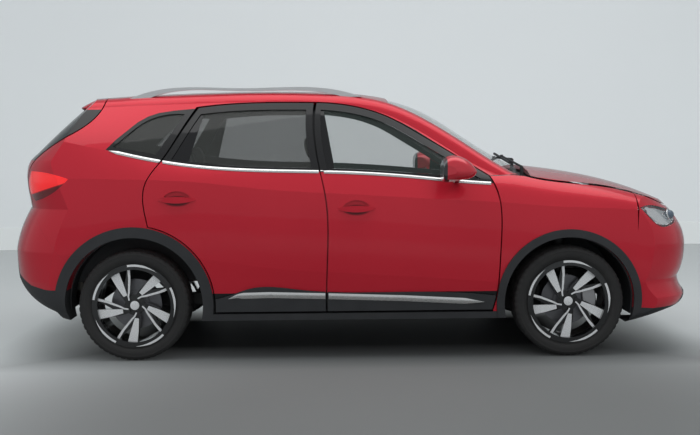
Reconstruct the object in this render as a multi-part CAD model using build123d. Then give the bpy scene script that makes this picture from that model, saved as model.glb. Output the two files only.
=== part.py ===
"""Compact five-door crossover, built from its own panels, glass, wheels, seats and running gear.

The frame has +X to the front, +Y to the left and +Z up, with its origin on the ground below the middle of
the car. All sizes are in millimetres. The form lines are drawn at FORM sizes and follow the driving ones.
"""

import math
import os
from collections import namedtuple
from functools import lru_cache

from build123d import *

# ---- driving dimensions ---------------------------------------------------------------------------------
WHEELBASE = 2585.0
FRONT_OVERHANG = 880.0
REAR_OVERHANG = 858.0
BODY_WIDTH = 1781.0
BODY_HEIGHT = 1619.0
TRACK = 1526.0

TYRE_RADIUS = 330.0
TYRE_WIDTH = 215.0
RIM_RADIUS = 228.6
RIM_FLANGE = 20.0
RIM_HALF = TYRE_WIDTH / 2 - 16
BARREL_WALL = 12.0
HUB_RADIUS = 62.0
BRAKE_DISC_RADIUS = 150.0
BRAKE_DISC_WIDTH = 14.0
SPINDLE_RADIUS = 22.0
RUNNING_FIT = 0.05

# a joint's range, ratio and pin stand beside the pieces that it moves; these two are for the knuckles
STEER_ANGLE = 33.0
KINGPIN_INSET = 43.0

FRONT_ARCH_RADIUS = 388.0
FRONT_BAND_RADIUS = 434.0
REAR_ARCH_RADIUS = 408.0
REAR_BAND_RADIUS = 470.0

SHUT_GAP = 7.0
CLADDING_DEPTH = 14.0
SEAL_GAP = 12.0
FLANGE_LAP = 40.0
GLASS_FIT = 0.3
REST_GAP = 0.3
FLOOR_THICKNESS = 60.0
LINER_THICKNESS = 6.0

LENGTH = WHEELBASE + FRONT_OVERHANG + REAR_OVERHANG
FRONT_AXLE_X = LENGTH / 2 - FRONT_OVERHANG
REAR_AXLE_X = FRONT_AXLE_X - WHEELBASE
WHEEL_Y = TRACK / 2
HUB_Z = TYRE_RADIUS
FAR = 1300.0

# ---- wall thicknesses, from the outer skin inwards ------------------------------------------------------
Wall = namedtuple("Wall", "side pillar top floor end")
SKIN = Wall(0, 0, 0, 0, 0)
DOOR_WALL = Wall(70, 42, 28, 40, 46)
SEAL_WALL = Wall(70 + SEAL_GAP, 42 + SEAL_GAP, 40, 40, 58)
BODY_WALL = Wall(115, 78, 28, FLOOR_THICKNESS, 46)
GLASS_OUT = Wall(8, 8, 8, 8, 8)
GLASS_IN = Wall(13, 13, 13, 13, 13)
FRONT_WALL = Wall(24, 24, 26, 24, 24)
FENDER_ROOM = Wall(30, 30, 30, 30, 30)
COWL_OUT = Wall(44, 44, 44, 44, 44)
COWL_IN = Wall(56, 56, 56, 56, 56)
COWL_REST = Wall(59, 59, 56.5, 56, 56)
LAMP_WALL = Wall(60, 60, 60, 60, 60)
CLADDING = Wall(-CLADDING_DEPTH, -CLADDING_DEPTH, -CLADDING_DEPTH, -CLADDING_DEPTH, -6)

# ---- form lines, drawn at the sizes below and stretched to the driving ones -------------------------------
FORM_REAR, FORM_REAR_AXLE, FORM_FRONT_AXLE, FORM_FRONT = -2161.5, -1303.5, 1281.5, 2161.5
FORM_WIDTH, FORM_HEIGHT = 1781.0, 1619.0
WIDE = BODY_WIDTH / FORM_WIDTH
HIGH = BODY_HEIGHT / FORM_HEIGHT


def along(x):
    """Where a form line's x lies on this car, stretched by overhang and wheelbase."""
    if x > FORM_FRONT_AXLE:
        return FRONT_AXLE_X + (x - FORM_FRONT_AXLE) * FRONT_OVERHANG / (FORM_FRONT - FORM_FRONT_AXLE)
    if x < FORM_REAR_AXLE:
        return REAR_AXLE_X + (x - FORM_REAR_AXLE) * REAR_OVERHANG / (FORM_REAR_AXLE - FORM_REAR)
    return REAR_AXLE_X + (x - FORM_REAR_AXLE) * WHEELBASE / (FORM_FRONT_AXLE - FORM_REAR_AXLE)


# half widths and heights of the skin's feature lines at one x
Station = namedtuple("Station", "x sill crease shoulder belt rail roof crown")
CABIN_STATIONS = [
    Station(-2300, (800, 235), (845, 640), (815, 1095), (745, 1345), (625, 1478), (535, 1520), 1540),
    Station(-1950, (825, 235), (868, 640), (842, 1092), (770, 1335), (640, 1490), (545, 1535), 1558),
    Station(-1600, (842, 235), (880, 640), (862, 1086), (798, 1280), (650, 1503), (555, 1556), 1582),
    Station(-1300, (850, 235), (884, 640), (874, 1078), (820, 1213), (655, 1515), (561, 1573), 1600),
    Station(-900, (852, 235), (884, 610), (881, 1058), (836, 1152), (657, 1528), (565, 1588), 1614),
    Station(-500, (852, 235), (884, 550), (883, 1013), (841, 1124), (658, 1534), (567, 1593), 1619),
    Station(-100, (852, 235), (884, 520), (883, 988), (840, 1108), (658, 1520), (568, 1580), 1610),
    Station(200, (852, 235), (883, 500), (881, 969), (837, 1092), (666, 1455), (592, 1530), 1578),
    Station(450, (852, 235), (882, 484), (878, 953), (833, 1073), (688, 1325), (620, 1418), 1500),
    Station(700, (852, 235), (880, 466), (875, 938), (827, 1053), (725, 1168), (655, 1262), 1350),
    Station(950, (850, 235), (877, 446), (871, 921), (818, 1030), (782, 1062), (712, 1103), 1195),
    Station(1150, (850, 235), (876, 440), (868, 905), (812, 1012), (790, 1030), (730, 1050), 1075),
]
FrontStation = namedtuple("FrontStation", "x sill crease shoulder edge crown")
FRONT_STATIONS = [
    FrontStation(780, (852, 180), (879, 460), (873, 933), (776, 1092), 1150),
    FrontStation(1000, (850, 180), (877, 444), (870, 917), (756, 1084), 1136),
    FrontStation(1281, (850, 180), (876, 440), (866, 896), (740, 1045), 1106),
    FrontStation(1550, (848, 180), (873, 440), (860, 884), (726, 1006), 1060),
    FrontStation(1800, (842, 180), (868, 440), (850, 866), (708, 944), 990),
    FrontStation(2000, (834, 180), (860, 440), (838, 846), (692, 862), 902),
    FrontStation(2300, (820, 180), (850, 440), (820, 780), (670, 700), 735),
]

# end profiles at the centre line, as runs of (x, z)
TAIL_PROFILE = [
    [(-1560, 1900), (-1645, 1560)],
    [(-1645, 1560), (-1860, 1385), (-2058, 1192)],
    [(-2058, 1192), (-2098, 1140), (-2080, 1010)],
    [(-2080, 1010), (-2068, 940), (-2062, 905)],
    [(-2062, 905), (-2140, 780), (FORM_REAR, 650)],
    [(FORM_REAR, 650), (FORM_REAR, 540), (-2150, 470)],
    [(-2150, 470), (-2105, 340), (-1960, 275)],
    [(-1960, 275), (-1900, 250), (-1850, 100)],
]
NOSE_PROFILE = [
    [(1760, 1500), (1880, 1010)],
    [(1880, 1010), (2060, 880), (2120, 780)],
    [(2120, 780), (FORM_FRONT, 715), (FORM_FRONT, 640)],
    [(FORM_FRONT, 640), (FORM_FRONT, 520), (2118, 452)],
    [(2118, 452), (2118, 400), (FORM_FRONT, 345)],
    [(FORM_FRONT, 345), (FORM_FRONT + 4, 290), (2090, 262)],
    [(2090, 262), (1960, 210), (1840, 186)],
    [(1840, 186), (1780, 170), (1700, 60)],
]
FLANK_BULGE = 14.0
BOW_WIDTH = 450.0
BOW_DEPTH = 58.0
CORNER_START = 640.0
CORNER_WIDTH = 300.0
CORNER_DEPTH = 250.0
END_SLICES = (0, 280, 520, 720, 840, 960)

# side outlines, as runs of (x, z)
DOOR_BOTTOM = 283.0
DOOR_FRONT = [(824, DOOR_BOTTOM), (855, 420), (868, 600), (876, 768), (869, 923), (845, 1018), (812, 1083)]
FRAME_FRONT = [(812, 1083), (597, 1218), (413, 1329), (200, 1446), (-12, 1508), (-228, 1528)]
DOOR_SPLIT = [(-228, 1528), (-197, 1121), (-163, 954), (-154, 656), (-163, DOOR_BOTTOM)]
FRAME_REAR = [(-228, 1528), (-498, 1530), (-740, 1522), (-936, 1502)]
DOOR_REAR = [(-936, 1502), (-1036, 1342), (-1130, 1188), (-1215, 1065), (-1234, 994), (-1225, 876),
             (-1209, 799)]
WINDOW_SILL = [(-1425, 1268), (-1137, 1203), (-907, 1172), (-612, 1148), (-197, 1136), (279, 1109), (740, 1064)]
CLADDING_TOP = [(-1000, 383), (-736, 388), (-617, 428), (-321, 419), (390, 400), (807, 377), (900, 365)]
HOOD_LINE = [(1030, 1080), (1253, 1039), (1496, 1013), (1692, 969), (1802, 932), (1900, 893), (2010, 868),
             (2400, 850)]
SCUTTLE = (955, 1087)
BUMPER_SEAM = [(1640, 560), (1690, 760), (1699, 886), (1692, 969)]
FRONT_LIP = [(1500, 300), (1793, 284), (1962, 286), (2060, 366), (2400, 380)]
GATE_LINE = [(-1484, 1545), (-1534, 1446), (-1781, 1281), (-1905, 1190), (-1950, 1128), (-1962, 1030)]
REAR_SEAM = [(-1935, 895), (-1700, 590), (-1600, 540)]
REAR_SKIRT = [(-1500, 420), (-1830, 428), (-1928, 447), (-2036, 505), (-2070, 580), (-2400, 590)]
HEADLAMP = [(1704, 886), (1797, 896), (1901, 872), (1990, 856), (2400, 846)]
HEADLAMP_FOOT = [(2400, 772), (1884, 768), (1841, 770), (1767, 821), (1704, 886)]
TAIL_LAMP = [(-1672, 1084), (-1795, 1118), (-1926, 1128)]
TAIL_LAMP_BACK = [(-1926, 1128), (-1950, 1083), (-1958, 1023), (-1931, 975), (-1902, 950)]
TAIL_LAMP_FOOT = [(-1902, 950), (-1800, 985), (-1722, 1034), (-1672, 1084)]


OFFSET_STEPS = 12


# ---- small helpers --------------------------------------------------------------------------------------
def curve(points):
    """A line through two points, or a quadratic curve pulled towards the middle one of three."""
    return Edge.make_line(*points) if len(points) == 2 else Edge.make_bezier(*points)


def side_point(point):
    return Vector(along(point[0]), 0, point[1] * HIGH)


def side_face(*runs):
    """A face in the side view: each run of form points is a line or a spline, or is an edge already."""
    edges = []
    for run in runs:
        if isinstance(run, Edge):
            edges.append(run)
        elif len(run) == 2:
            edges.append(Edge.make_line(side_point(run[0]), side_point(run[1])))
        else:
            edges.append(Edge.make_spline([side_point(point) for point in run]))
    return Face(Wire(edges))


def side_polygon(points):
    """A face in the side view through form points joined by straight lines."""
    return Face(Wire.make_polygon([side_point(point) for point in points]))


def resized(face, amount):
    """The flat face with its whole edge moved out, or in for a negative amount."""
    edges = []
    for edge in face.outer_wire().offset_2d(amount).edges():
        if edge.geom_type in (GeomType.LINE, GeomType.CIRCLE):
            edges.append(edge)
        else:
            edges.append(Edge.make_spline([edge @ (step / OFFSET_STEPS) for step in range(OFFSET_STEPS + 1)]))
    return Face(Wire(edges))


def across(face, y_from=0.0, y_to=FAR):
    """The side-view face as a prism between two y planes."""
    return Solid.extrude(face.moved(Location((0, y_from, 0))), Vector(0, y_to - y_from, 0))


def block(x, y, z, radius=0.0):
    """A box between pairs of x, y and z, its edges rounded where a radius is given."""
    solid = Solid.make_box(x[1] - x[0], y[1] - y[0], z[1] - z[0]).moved(Location((x[0], y[0], z[0])))
    return solid.fillet(radius, solid.edges()) if radius else solid


def tube_y(x, z, radius, y_from, y_to):
    """A round bar along Y."""
    return Solid.make_cylinder(radius, y_to - y_from, Plane((x, y_from, z), z_dir=(0, 1, 0)))


def tube_z(x, y, radius, z_from, z_to):
    """A round bar along Z."""
    return Solid.make_cylinder(radius, z_to - z_from, Plane((x, y, z_from)))


def rod(start, end, radius):
    """A round bar between two points."""
    way = Vector(*end) - Vector(*start)
    return Solid.make_cylinder(radius, way.length, Plane(start, z_dir=way))


def mirrored(shape):
    return shape.mirror(Plane.XZ)


def both(shape):
    """A left-hand shape with its mirror image, as separate solids."""
    return Compound(children=list(shape.solids()) + list(mirrored(shape).solids()))


def fused(*shapes):
    """The shapes as one solid."""
    return shapes[0].fuse(*shapes[1:])


def biggest(shape):
    """The largest solid of a cut shape, without slivers."""
    return max(shape.solids(), key=lambda solid: solid.volume)


# ---- the body's form ------------------------------------------------------------------------------------
def bow(y):
    """How far the nose or tail has swept back at half width y."""
    drawn = abs(y) / WIDE
    corner = max(0.0, (drawn - CORNER_START) / CORNER_WIDTH)
    return BOW_DEPTH * (drawn / BOW_WIDTH) ** 2 + CORNER_DEPTH * corner**2


def full_section(x, half, crown):
    """A closed cross-section from its half's runs of (half width, z), crowned at the centre."""
    at = lambda point, sign: Vector(x, sign * point[0], point[1])
    last = half[-1][-1]
    peak = (0, 2 * crown - last[1])
    edges = [curve([at(point, -1) for point in run]) for run in half]
    edges.append(curve([at(last, -1), at(peak, 1), at(last, 1)]))
    edges += [curve([at(point, 1) for point in reversed(run)]) for run in reversed(half)]
    edges.append(curve([at(half[0][0], 1), at(half[0][0], -1)]))
    return Wire(edges)


def between(a, b, out, up):
    """The middle of two section points, moved out and up: the pull of a gently curved run."""
    return ((a[0] + b[0]) / 2 + out, (a[1] + b[1]) / 2 + up)


def sized(point):
    """A section point at this car's width and height."""
    return (point[0] * WIDE, point[1] * HIGH)


def drawn_in(point, inward, down):
    return (point[0] - inward, point[1] - down)


def cabin_section(s, wall):
    sill = drawn_in(sized(s.sill), wall.side, -wall.floor)
    crease = drawn_in(sized(s.crease), wall.side, 0)
    shoulder = drawn_in(sized(s.shoulder), wall.side, 0)
    belt = drawn_in(sized(s.belt), 0.9 * wall.side, 0.1 * wall.side)
    rail = drawn_in(sized(s.rail), wall.pillar, 0.35 * wall.pillar)
    roof = drawn_in(sized(s.roof), 0.5 * wall.pillar, wall.top)
    corner = (rail[0] - 0.18 * (rail[0] - roof[0]), roof[1] - 0.12 * (roof[1] - rail[1]))
    half = [
        [sill, crease],
        [crease, between(crease, shoulder, FLANK_BULGE, 0), shoulder],
        [shoulder, between(shoulder, belt, 4, 4), belt],
        [belt, between(belt, rail, 18, 8), rail],
        [rail, corner, roof],
    ]
    return full_section(along(s.x), half, s.crown * HIGH - wall.top)


def front_section(s, wall):
    sill = drawn_in(sized(s.sill), wall.side, -wall.floor)
    crease = drawn_in(sized(s.crease), wall.side, 0)
    shoulder = drawn_in(sized(s.shoulder), wall.side, 0)
    edge = drawn_in(sized(s.edge), 0.6 * wall.side, 0.8 * wall.top)
    half = [
        [sill, crease],
        [crease, between(crease, shoulder, FLANK_BULGE, 0), shoulder],
        [shoulder, between(shoulder, edge, 34, 38), edge],
    ]
    return full_section(along(s.x), half, s.crown * HIGH - wall.top)


def end_space(profile, inset):
    """The space inside the tail or nose skin, as a loft of its profile across the car."""
    sign = 1 if profile is TAIL_PROFILE else -1
    slices = []
    for drawn in [-y for y in reversed(END_SLICES[1:])] + list(END_SLICES):
        y = drawn * WIDE
        shift = sign * (bow(y) + inset)
        runs = [[Vector(along(x) + shift, y, z * HIGH) for x, z in run] for run in profile]
        top, bottom = runs[0][0], runs[-1][-1]
        far_top, far_bottom = Vector(sign * LENGTH, y, top.Z), Vector(sign * LENGTH, y, bottom.Z)
        edges = [curve(run) for run in runs]
        edges += [curve(pair) for pair in ([bottom, far_bottom], [far_bottom, far_top], [far_top, top])]
        slices.append(Wire(edges))
    return Solid.make_loft(slices)


@lru_cache(maxsize=None)
def cabin_form(wall):
    """The cabin's whole form, from tail to windscreen foot, drawn in by the wall's thicknesses."""
    loft = Solid.make_loft([cabin_section(s, wall) for s in CABIN_STATIONS])
    return loft & end_space(TAIL_PROFILE, wall.end)


@lru_cache(maxsize=None)
def front_form(wall):
    """The front's whole form, from windscreen foot to nose, drawn in by the wall's thicknesses."""
    loft = Solid.make_loft([front_section(s, wall) for s in FRONT_STATIONS])
    return loft & end_space(NOSE_PROFILE, wall.end)


@lru_cache(maxsize=None)
def cabin_wall(outer, inner):
    return cabin_form(outer) - cabin_form(inner)


@lru_cache(maxsize=None)
def front_wall(outer, inner):
    return front_form(outer) - front_form(inner)


def arch_space(x, radius, y_from, y_to=FAR):
    """The round space about a left wheel's axis."""
    return tube_y(x, HUB_Z, radius, y_from, y_to)


# ---- side outlines of doors and windows ------------------------------------------------------------------
def band_arc(start, radius):
    """The rear door's lower edge, round the rear arch band from start down to the door's bottom."""
    bottom_z = DOOR_BOTTOM * HIGH
    first = side_point(start)
    last_x = REAR_AXLE_X + math.sqrt(radius**2 - (bottom_z - HUB_Z) ** 2)
    turn = math.radians(35)
    middle = Vector(REAR_AXLE_X + radius * math.cos(turn), 0, HUB_Z + radius * math.sin(turn))
    return Edge.make_three_point_arc(first, middle, Vector(last_x, 0, bottom_z)), Vector(last_x, 0, bottom_z)


def front_door_face():
    return side_face(DOOR_FRONT, FRAME_FRONT, DOOR_SPLIT, [DOOR_SPLIT[-1], DOOR_FRONT[0]])


def rear_door_face():
    radius = REAR_BAND_RADIUS + SHUT_GAP
    top = side_point(DOOR_REAR[-1])
    reach = math.hypot(top.X - REAR_AXLE_X, top.Z - HUB_Z)
    arc, foot = band_arc(DOOR_REAR[-1], max(radius, reach))
    base = Edge.make_line(foot, side_point(DOOR_SPLIT[-1]))
    return side_face(list(reversed(DOOR_SPLIT)), FRAME_REAR, DOOR_REAR, arc, base)


def above_belt():
    """The side view above the window sills."""
    return side_face(WINDOW_SILL, [(740, 1064), (1000, 1064)], [(1000, 1064), (1000, 1700)],
                     [(1000, 1700), (-1500, 1700)], [(-1500, 1700), (-1500, 1268)], [(-1500, 1268), (-1425, 1268)])


FRAME_WIDTH = 44.0


def window_face(door):
    """The window's opening in a door: inside its frame and above the belt."""
    inner = resized(door, -FRAME_WIDTH)
    return (inner & above_belt()).face()


def quarter_face():
    """The fixed window behind the rear door."""
    return side_face([(-1420, 1270), (-1165, 1222)], [(-1165, 1222), (-1090, 1335), (-1006, 1462)],
                     [(-1006, 1462), (-1130, 1457), (-1225, 1425), (-1325, 1352), (-1420, 1270)])


# ---- doors ----------------------------------------------------------------------------------------------
# the doors open by DOOR_SWING degrees about pins at the height of HINGE_HEIGHTS
DOOR_INSIDE_Y = 590.0
DOOR_SWING = 66.0
SEAM_SWEEP = 3.5
HINGE_BACK = 50.0
HINGE_IN = 11.5
HINGE_HEIGHTS = (650.0, 780.0)
HINGE_PIN_RADIUS = 3.5
HINGE_BARREL_RADIUS = 6.0
HINGE_BARREL_HALF = 15.0
HINGE_SLOT_HALF = HINGE_BARREL_HALF + 5
HINGE_SLOT_RADIUS = HINGE_BARREL_RADIUS + 1.5
HINGE_SEAT = 68.5
HINGE_PLATE = 17.0
LIP_REACH = 58.0


def flank_y(x):
    """The flank's half width at a form x, between crease and shoulder, with the bulge between them."""
    ahead = next(n for n, station in enumerate(CABIN_STATIONS) if station.x >= x)
    a, b = CABIN_STATIONS[ahead - 1], CABIN_STATIONS[ahead]
    share = (x - a.x) / (b.x - a.x)
    widths = [(station.crease[0] + station.shoulder[0]) / 2 for station in (a, b)]
    return (widths[0] + share * (widths[1] - widths[0])) * WIDE + FLANK_BULGE / 2


def height_out(x, z):
    """The skin's half width at an x and a height."""
    column = cabin_form(SKIN) & block((x - 0.5, x + 0.5), (0, FAR), (z - 0.5, z + 0.5))
    return column.bounding_box().max.Y


def hinge_point(edge):
    """A door's vertical hinge axis, just behind its front edge and inside its skin."""
    front = max(point[0] for point in edge)
    return Vector(along(front) - HINGE_BACK, flank_y(front) - HINGE_IN, 0)


def swung(shape, hinge, degrees):
    """A left-hand shape turned outwards about a door's hinge."""
    return shape.rotate(Axis((hinge.X, hinge.Y, 0), (0, 0, 1)), -degrees)


def door_panel(face, edge, handle):
    """A door as thick as the body's wall, with its hinge pins.

    Its rear edge is cut back to swing past what is behind it, and its inner front corner is rounded about
    the hinge to turn clear of the body's flange. A slot round each pin takes the body's hinge arm.
    """
    hinge = hinge_point(edge)
    prism = across(resized(face, -SHUT_GAP / 2), DOOR_INSIDE_Y)
    panel = cabin_wall(SKIN, DOOR_WALL) & prism & swung(prism, hinge, -SEAM_SWEEP)
    panel = panel - across(window_face(face), DOOR_INSIDE_Y) - finger_cup(handle)
    front, top = hinge.X + HINGE_BACK, BODY_HEIGHT
    corner = block((hinge.X, front), (DOOR_INSIDE_Y, hinge.Y), (0, top))
    panel = biggest(panel - (corner - tube_z(hinge.X, hinge.Y, LIP_REACH, 0, top)))
    for height in HINGE_HEIGHTS:
        z = height * HIGH
        span = (z - HINGE_SLOT_HALF, z + HINGE_SLOT_HALF)
        slot_y = (DOOR_INSIDE_Y, hinge.Y + HINGE_SLOT_RADIUS)
        panel = panel - block((hinge.X - HINGE_SLOT_RADIUS, front), slot_y, span)
        panel = fused(panel, tube_z(hinge.X, hinge.Y, HINGE_PIN_RADIUS, span[0] - 5, span[1] + 5))
    return biggest(panel)


def hinge_arms(edge):
    """The body's two hinge arms for a door, each a plate on the flange, an arm and a barrel round the pin."""
    hinge = hinge_point(edge)
    seat = hinge.Y - HINGE_SEAT
    arms = []
    for height in HINGE_HEIGHTS:
        span = (height * HIGH - HINGE_BARREL_HALF, height * HIGH + HINGE_BARREL_HALF)
        plate = block((hinge.X - HINGE_BARREL_RADIUS, hinge.X + HINGE_BACK - 10), (seat - HINGE_PLATE, seat), span)
        arm = block((hinge.X - HINGE_BARREL_RADIUS, hinge.X + HINGE_BARREL_RADIUS), (seat - 5, hinge.Y), span)
        barrel = tube_z(hinge.X, hinge.Y, HINGE_BARREL_RADIUS, *span)
        bore = tube_z(hinge.X, hinge.Y, HINGE_PIN_RADIUS + RUNNING_FIT, span[0] - 1, span[1] + 1)
        arms.append(fused(plate, arm, barrel) - bore)
    return arms


def pane(face):
    """A side window's glass, fitted to its opening."""
    shell = cabin_wall(GLASS_OUT, GLASS_IN)
    return biggest(shell & across(resized(face, -GLASS_FIT), DOOR_INSIDE_Y))


CLADDING_SET_BACK = 3.0


def low_cladding(face, hinge_edge):
    """The plastic skirt along a door's bottom, over its skin and a little inside its outline."""
    prism = across(resized(face, -SHUT_GAP / 2 - CLADDING_SET_BACK), DOOR_INSIDE_Y)
    sweep = swung(prism, hinge_point(hinge_edge), -SEAM_SWEEP)
    low = side_face(CLADDING_TOP, [CLADDING_TOP[-1], (900, 100)], [(900, 100), (-1000, 100)],
                    [(-1000, 100), CLADDING_TOP[0]])
    return biggest(cabin_wall(CLADDING, SKIN) & prism & sweep & across(low, DOOR_INSIDE_Y))


HANDLE_LENGTH = 250.0
HANDLE_HEIGHT = 38.0
HANDLE_STAND = 34.0
HANDLE_ROOT = 11.0
GRIP_THICKNESS = 15.0
CUP_LENGTH = 150.0
CUP_HEIGHT = 60.0
CUP_RISE = 20.0
CUP_WALL = Wall(22, 22, 22, 22, 22)
REAR_HANDLE = (-1035.0, 958.0)
FRONT_HANDLE = (17.0, 897.0)


def lens_face(x, z, length, height):
    """An upright eye-shaped face about a point, pointed at both ends."""
    ends = [(x - length / 2, 0, z), (x + length / 2, 0, z)]
    return Face(Wire([Edge.make_three_point_arc(ends[0], (x, 0, z + height / 2), ends[1]),
                      Edge.make_three_point_arc(ends[1], (x, 0, z - height / 2), ends[0])]))


def finger_cup(place):
    """The hollow pressed into a door's skin behind its handle."""
    x, z = along(place[0]), place[1] * HIGH + CUP_RISE
    return across(lens_face(x, z, CUP_LENGTH, CUP_HEIGHT), DOOR_INSIDE_Y) - cabin_form(CUP_WALL)


def door_handle(place):
    """A pull handle bowed out from the door's skin, pointed at its ends, on which it stands."""
    x, z = along(place[0]), place[1] * HIGH
    skin_y = height_out(x, z)
    half = HANDLE_LENGTH / 2
    root, crest = skin_y - HANDLE_ROOT, skin_y + HANDLE_STAND
    outer = Edge.make_three_point_arc((x - half, root, z), (x, crest, z), (x + half, root, z))
    inner = Edge.make_three_point_arc((x + half - HANDLE_ROOT, root, z), (x, crest - GRIP_THICKNESS, z),
                                      (x - half + HANDLE_ROOT, root, z))
    ends = [Edge.make_line(outer @ 1, inner @ 0), Edge.make_line(inner @ 1, outer @ 0)]
    plan = Face(Wire([outer, ends[0], inner, ends[1]])).moved(Location((0, 0, -HANDLE_HEIGHT)))
    bar = Solid.extrude(plan, Vector(0, 0, 2 * HANDLE_HEIGHT))
    eye = across(lens_face(x, z, HANDLE_LENGTH, HANDLE_HEIGHT), DOOR_INSIDE_Y)
    return biggest((bar & eye) - cabin_form(SKIN))


MIRROR_BACK = 508.0
MIRROR_MIDDLE = 1120.0
MIRROR_OUTLINE = [(508, 1158), (522, 1192), (562, 1207), (612, 1200), (662, 1173), (694, 1139), (706, 1112),
                  (690, 1088), (632, 1069), (562, 1055), (522, 1054), (508, 1068)]
MIRROR_SLICES = [(905.0, 0.52), (930.0, 0.80), (975.0, 0.97), (1020.0, 1.0), (1062.0, 0.90), (1086.0, 0.68),
                 (1098.0, 0.38)]
MIRROR_ARM_RADIUS = 19.0
MIRROR_RIM = 0.82


def mirror_slice(y, share):
    """The mirror's outline at a width over the ground, drawn in towards the middle of its glass."""
    point = lambda x, z: Vector(along(MIRROR_BACK + (x - MIRROR_BACK) * share), y * WIDE,
                                (MIRROR_MIDDLE + (z - MIRROR_MIDDLE) * share) * HIGH)
    points = [point(*place) for place in MIRROR_OUTLINE]
    return Wire([Edge.make_spline(points), Edge.make_line(points[-1], points[0])])


def door_mirror():
    """A drop-shaped mirror housing on a short arm from the front corner of the door's window."""
    shell = Solid.make_loft([mirror_slice(*place) for place in MIRROR_SLICES])
    widths = [y * WIDE for y, share in MIRROR_SLICES]
    back, middle = along(MIRROR_BACK), MIRROR_MIDDLE * HIGH
    glass = Solid.make_loft([mirror_slice(y, share * MIRROR_RIM) for y, share in MIRROR_SLICES[1:-1]])
    glass = glass & block((back - 1, back + 14), (0, FAR), (0, 2000))
    foot = (back + 112, widths[0] - 110, middle - 68)
    head = (back + 90, widths[2], middle - 32)
    return biggest(fused(shell, rod(foot, head, MIRROR_ARM_RADIUS)) - glass - cabin_form(SKIN))


# ---- body -----------------------------------------------------------------------------------------------
ROOF_HALF = 556.0
ROOF_FRONT = 222.0
ROOF_REAR = -1484.0
TAILGATE_FOOT = 895.0
# the tailgate opens by GATE_SWING degrees about a line across the car through GATE_HINGE, (x, z)
GATE_SWING = 80.0
GATE_HINGE = (along(ROOF_REAR) - SHUT_GAP / 2, 1594.0 * HIGH)


def plan_face(points):
    """A face in plan from form points (x, y), mirrored to both sides and joined by straight lines."""
    left = [(along(x), y * WIDE) for x, y in points]
    ring = left + [(x, -y) for x, y in reversed(left)]
    return Face(Wire.make_polygon([Vector(x, y, 0) for x, y in ring]))


def upright(face, z_from=0.0, z_to=2000.0):
    return Solid.extrude(face.moved(Location((0, 0, z_from))), Vector(0, 0, z_to - z_from))


def screen_plan(front, spread=0.0):
    """The windscreen's plan, between header and cowl, inside the pillars."""
    return plan_face([(ROOF_FRONT + spread, 570 - spread), (450, 604 - spread), (700, 634 - spread),
                      (900, 672 - spread), (front - 95, 696 - spread), (front - 40, 480), (front - 8, 220)])


SCREEN_FOOT = 1072.0


def gate_region():
    """The side view behind the tailgate's shut line."""
    return side_face([(ROOF_REAR, 1800), (ROOF_REAR, 1545)], GATE_LINE + [(-1938, 950), (-1950, TAILGATE_FOOT)],
                     [(-1950, TAILGATE_FOOT), (-2500, TAILGATE_FOOT)], [(-2500, TAILGATE_FOOT), (-2500, 1800)],
                     [(-2500, 1800), (ROOF_REAR, 1800)])


def rear_region():
    """The side view of the rear bumper with its skirt."""
    return side_polygon(REAR_SEAM + [(-1600, 100), (-2500, 100), (-2500, TAILGATE_FOOT)])


def below(line):
    """The side view below a line of straight runs."""
    return side_polygon(line + [(line[-1][0], 0), (line[0][0], 0)])


def body_side():
    """The left side of the body shell, with a rebate and flange round each door."""
    side = cabin_wall(SKIN, BODY_WALL) & block((along(-2400), along(1030)), (0, FAR), (0, 2000))
    for face in (front_door_face(), rear_door_face()):
        side = side - (across(resized(face, SHUT_GAP / 2), 500) - cabin_form(SEAL_WALL))
        side = side - across(resized(face, -FLANGE_LAP), 400)
    side = side - across(quarter_face(), DOOR_INSIDE_Y)
    low, far = (DOOR_FRONT[0][0], 100), (1100, 1080)
    ahead = side_face([DOOR_FRONT[-1], SCUTTLE], [SCUTTLE, far], [far, (far[0], low[1])], [(far[0], low[1]), low],
                      [low, DOOR_FRONT[0]], DOOR_FRONT)
    for form in (cabin_form(FENDER_ROOM), front_form(FENDER_ROOM)):
        side = side - (across(ahead, 400) - form)
    side = side - arch_space(FRONT_AXLE_X, FRONT_ARCH_RADIUS, 400)
    side = side - across(gate_region(), -1) - across(rear_region(), -1)
    side = side - across(side_face(TAIL_LAMP, TAIL_LAMP_BACK, TAIL_LAMP_FOOT), 300)
    side = side - upright(screen_plan(SCREEN_FOOT))
    side = side - block((along(ROOF_REAR) - 1, along(ROOF_FRONT)), (-1, ROOF_HALF * WIDE), (1300, 2000))
    side = side - block((along(950), along(1200)), (-1, 690 * WIDE), (900 * HIGH, 2000))
    side = side - block((along(-2400), along(1100)), (-1, 745 * WIDE), (0, 420))
    side = biggest(side - arch_space(REAR_AXLE_X, REAR_ARCH_RADIUS, 500))
    return biggest(fused(side, gate_seal(), *hinge_arms(DOOR_FRONT), *hinge_arms(DOOR_SPLIT)))


SEAL_OUT = Wall(20, 20, 20, 20, 20)
SEAL_IN = Wall(36, 36, 27, 36, 36)
SEAL_ROOT = 6.0


def gate_seal():
    """The rubber lip down the pillar's rear edge, on which the shut tailgate rests."""
    lip = across(resized(gate_region(), SEAL_ROOT), 0) - across(resized(gate_region(), REST_GAP - SHUT_GAP), -1)
    height = block((-LENGTH, 0), (ROOF_HALF * WIDE + 20, FAR), (1150 * HIGH, 1450 * HIGH))
    return biggest(cabin_wall(SEAL_OUT, SEAL_IN) & lip & height)


def roof_panel():
    """The roof between the cant rails, from header to tailgate."""
    zone = block((along(ROOF_REAR), along(ROOF_FRONT)), (-ROOF_HALF * WIDE, ROOF_HALF * WIDE), (1300, 2000))
    return biggest(cabin_wall(SKIN, BODY_WALL) & zone)


FIREWALL_X = 1025.0
HEEL_X = -850.0
PANEL = 40.0
FLOOR_Z = 235.0
REAR_FLOOR_Z = 600.0
FRONT_FLOOR_HALF = 745.0
REAR_FLOOR_HALF = 594.0


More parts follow.
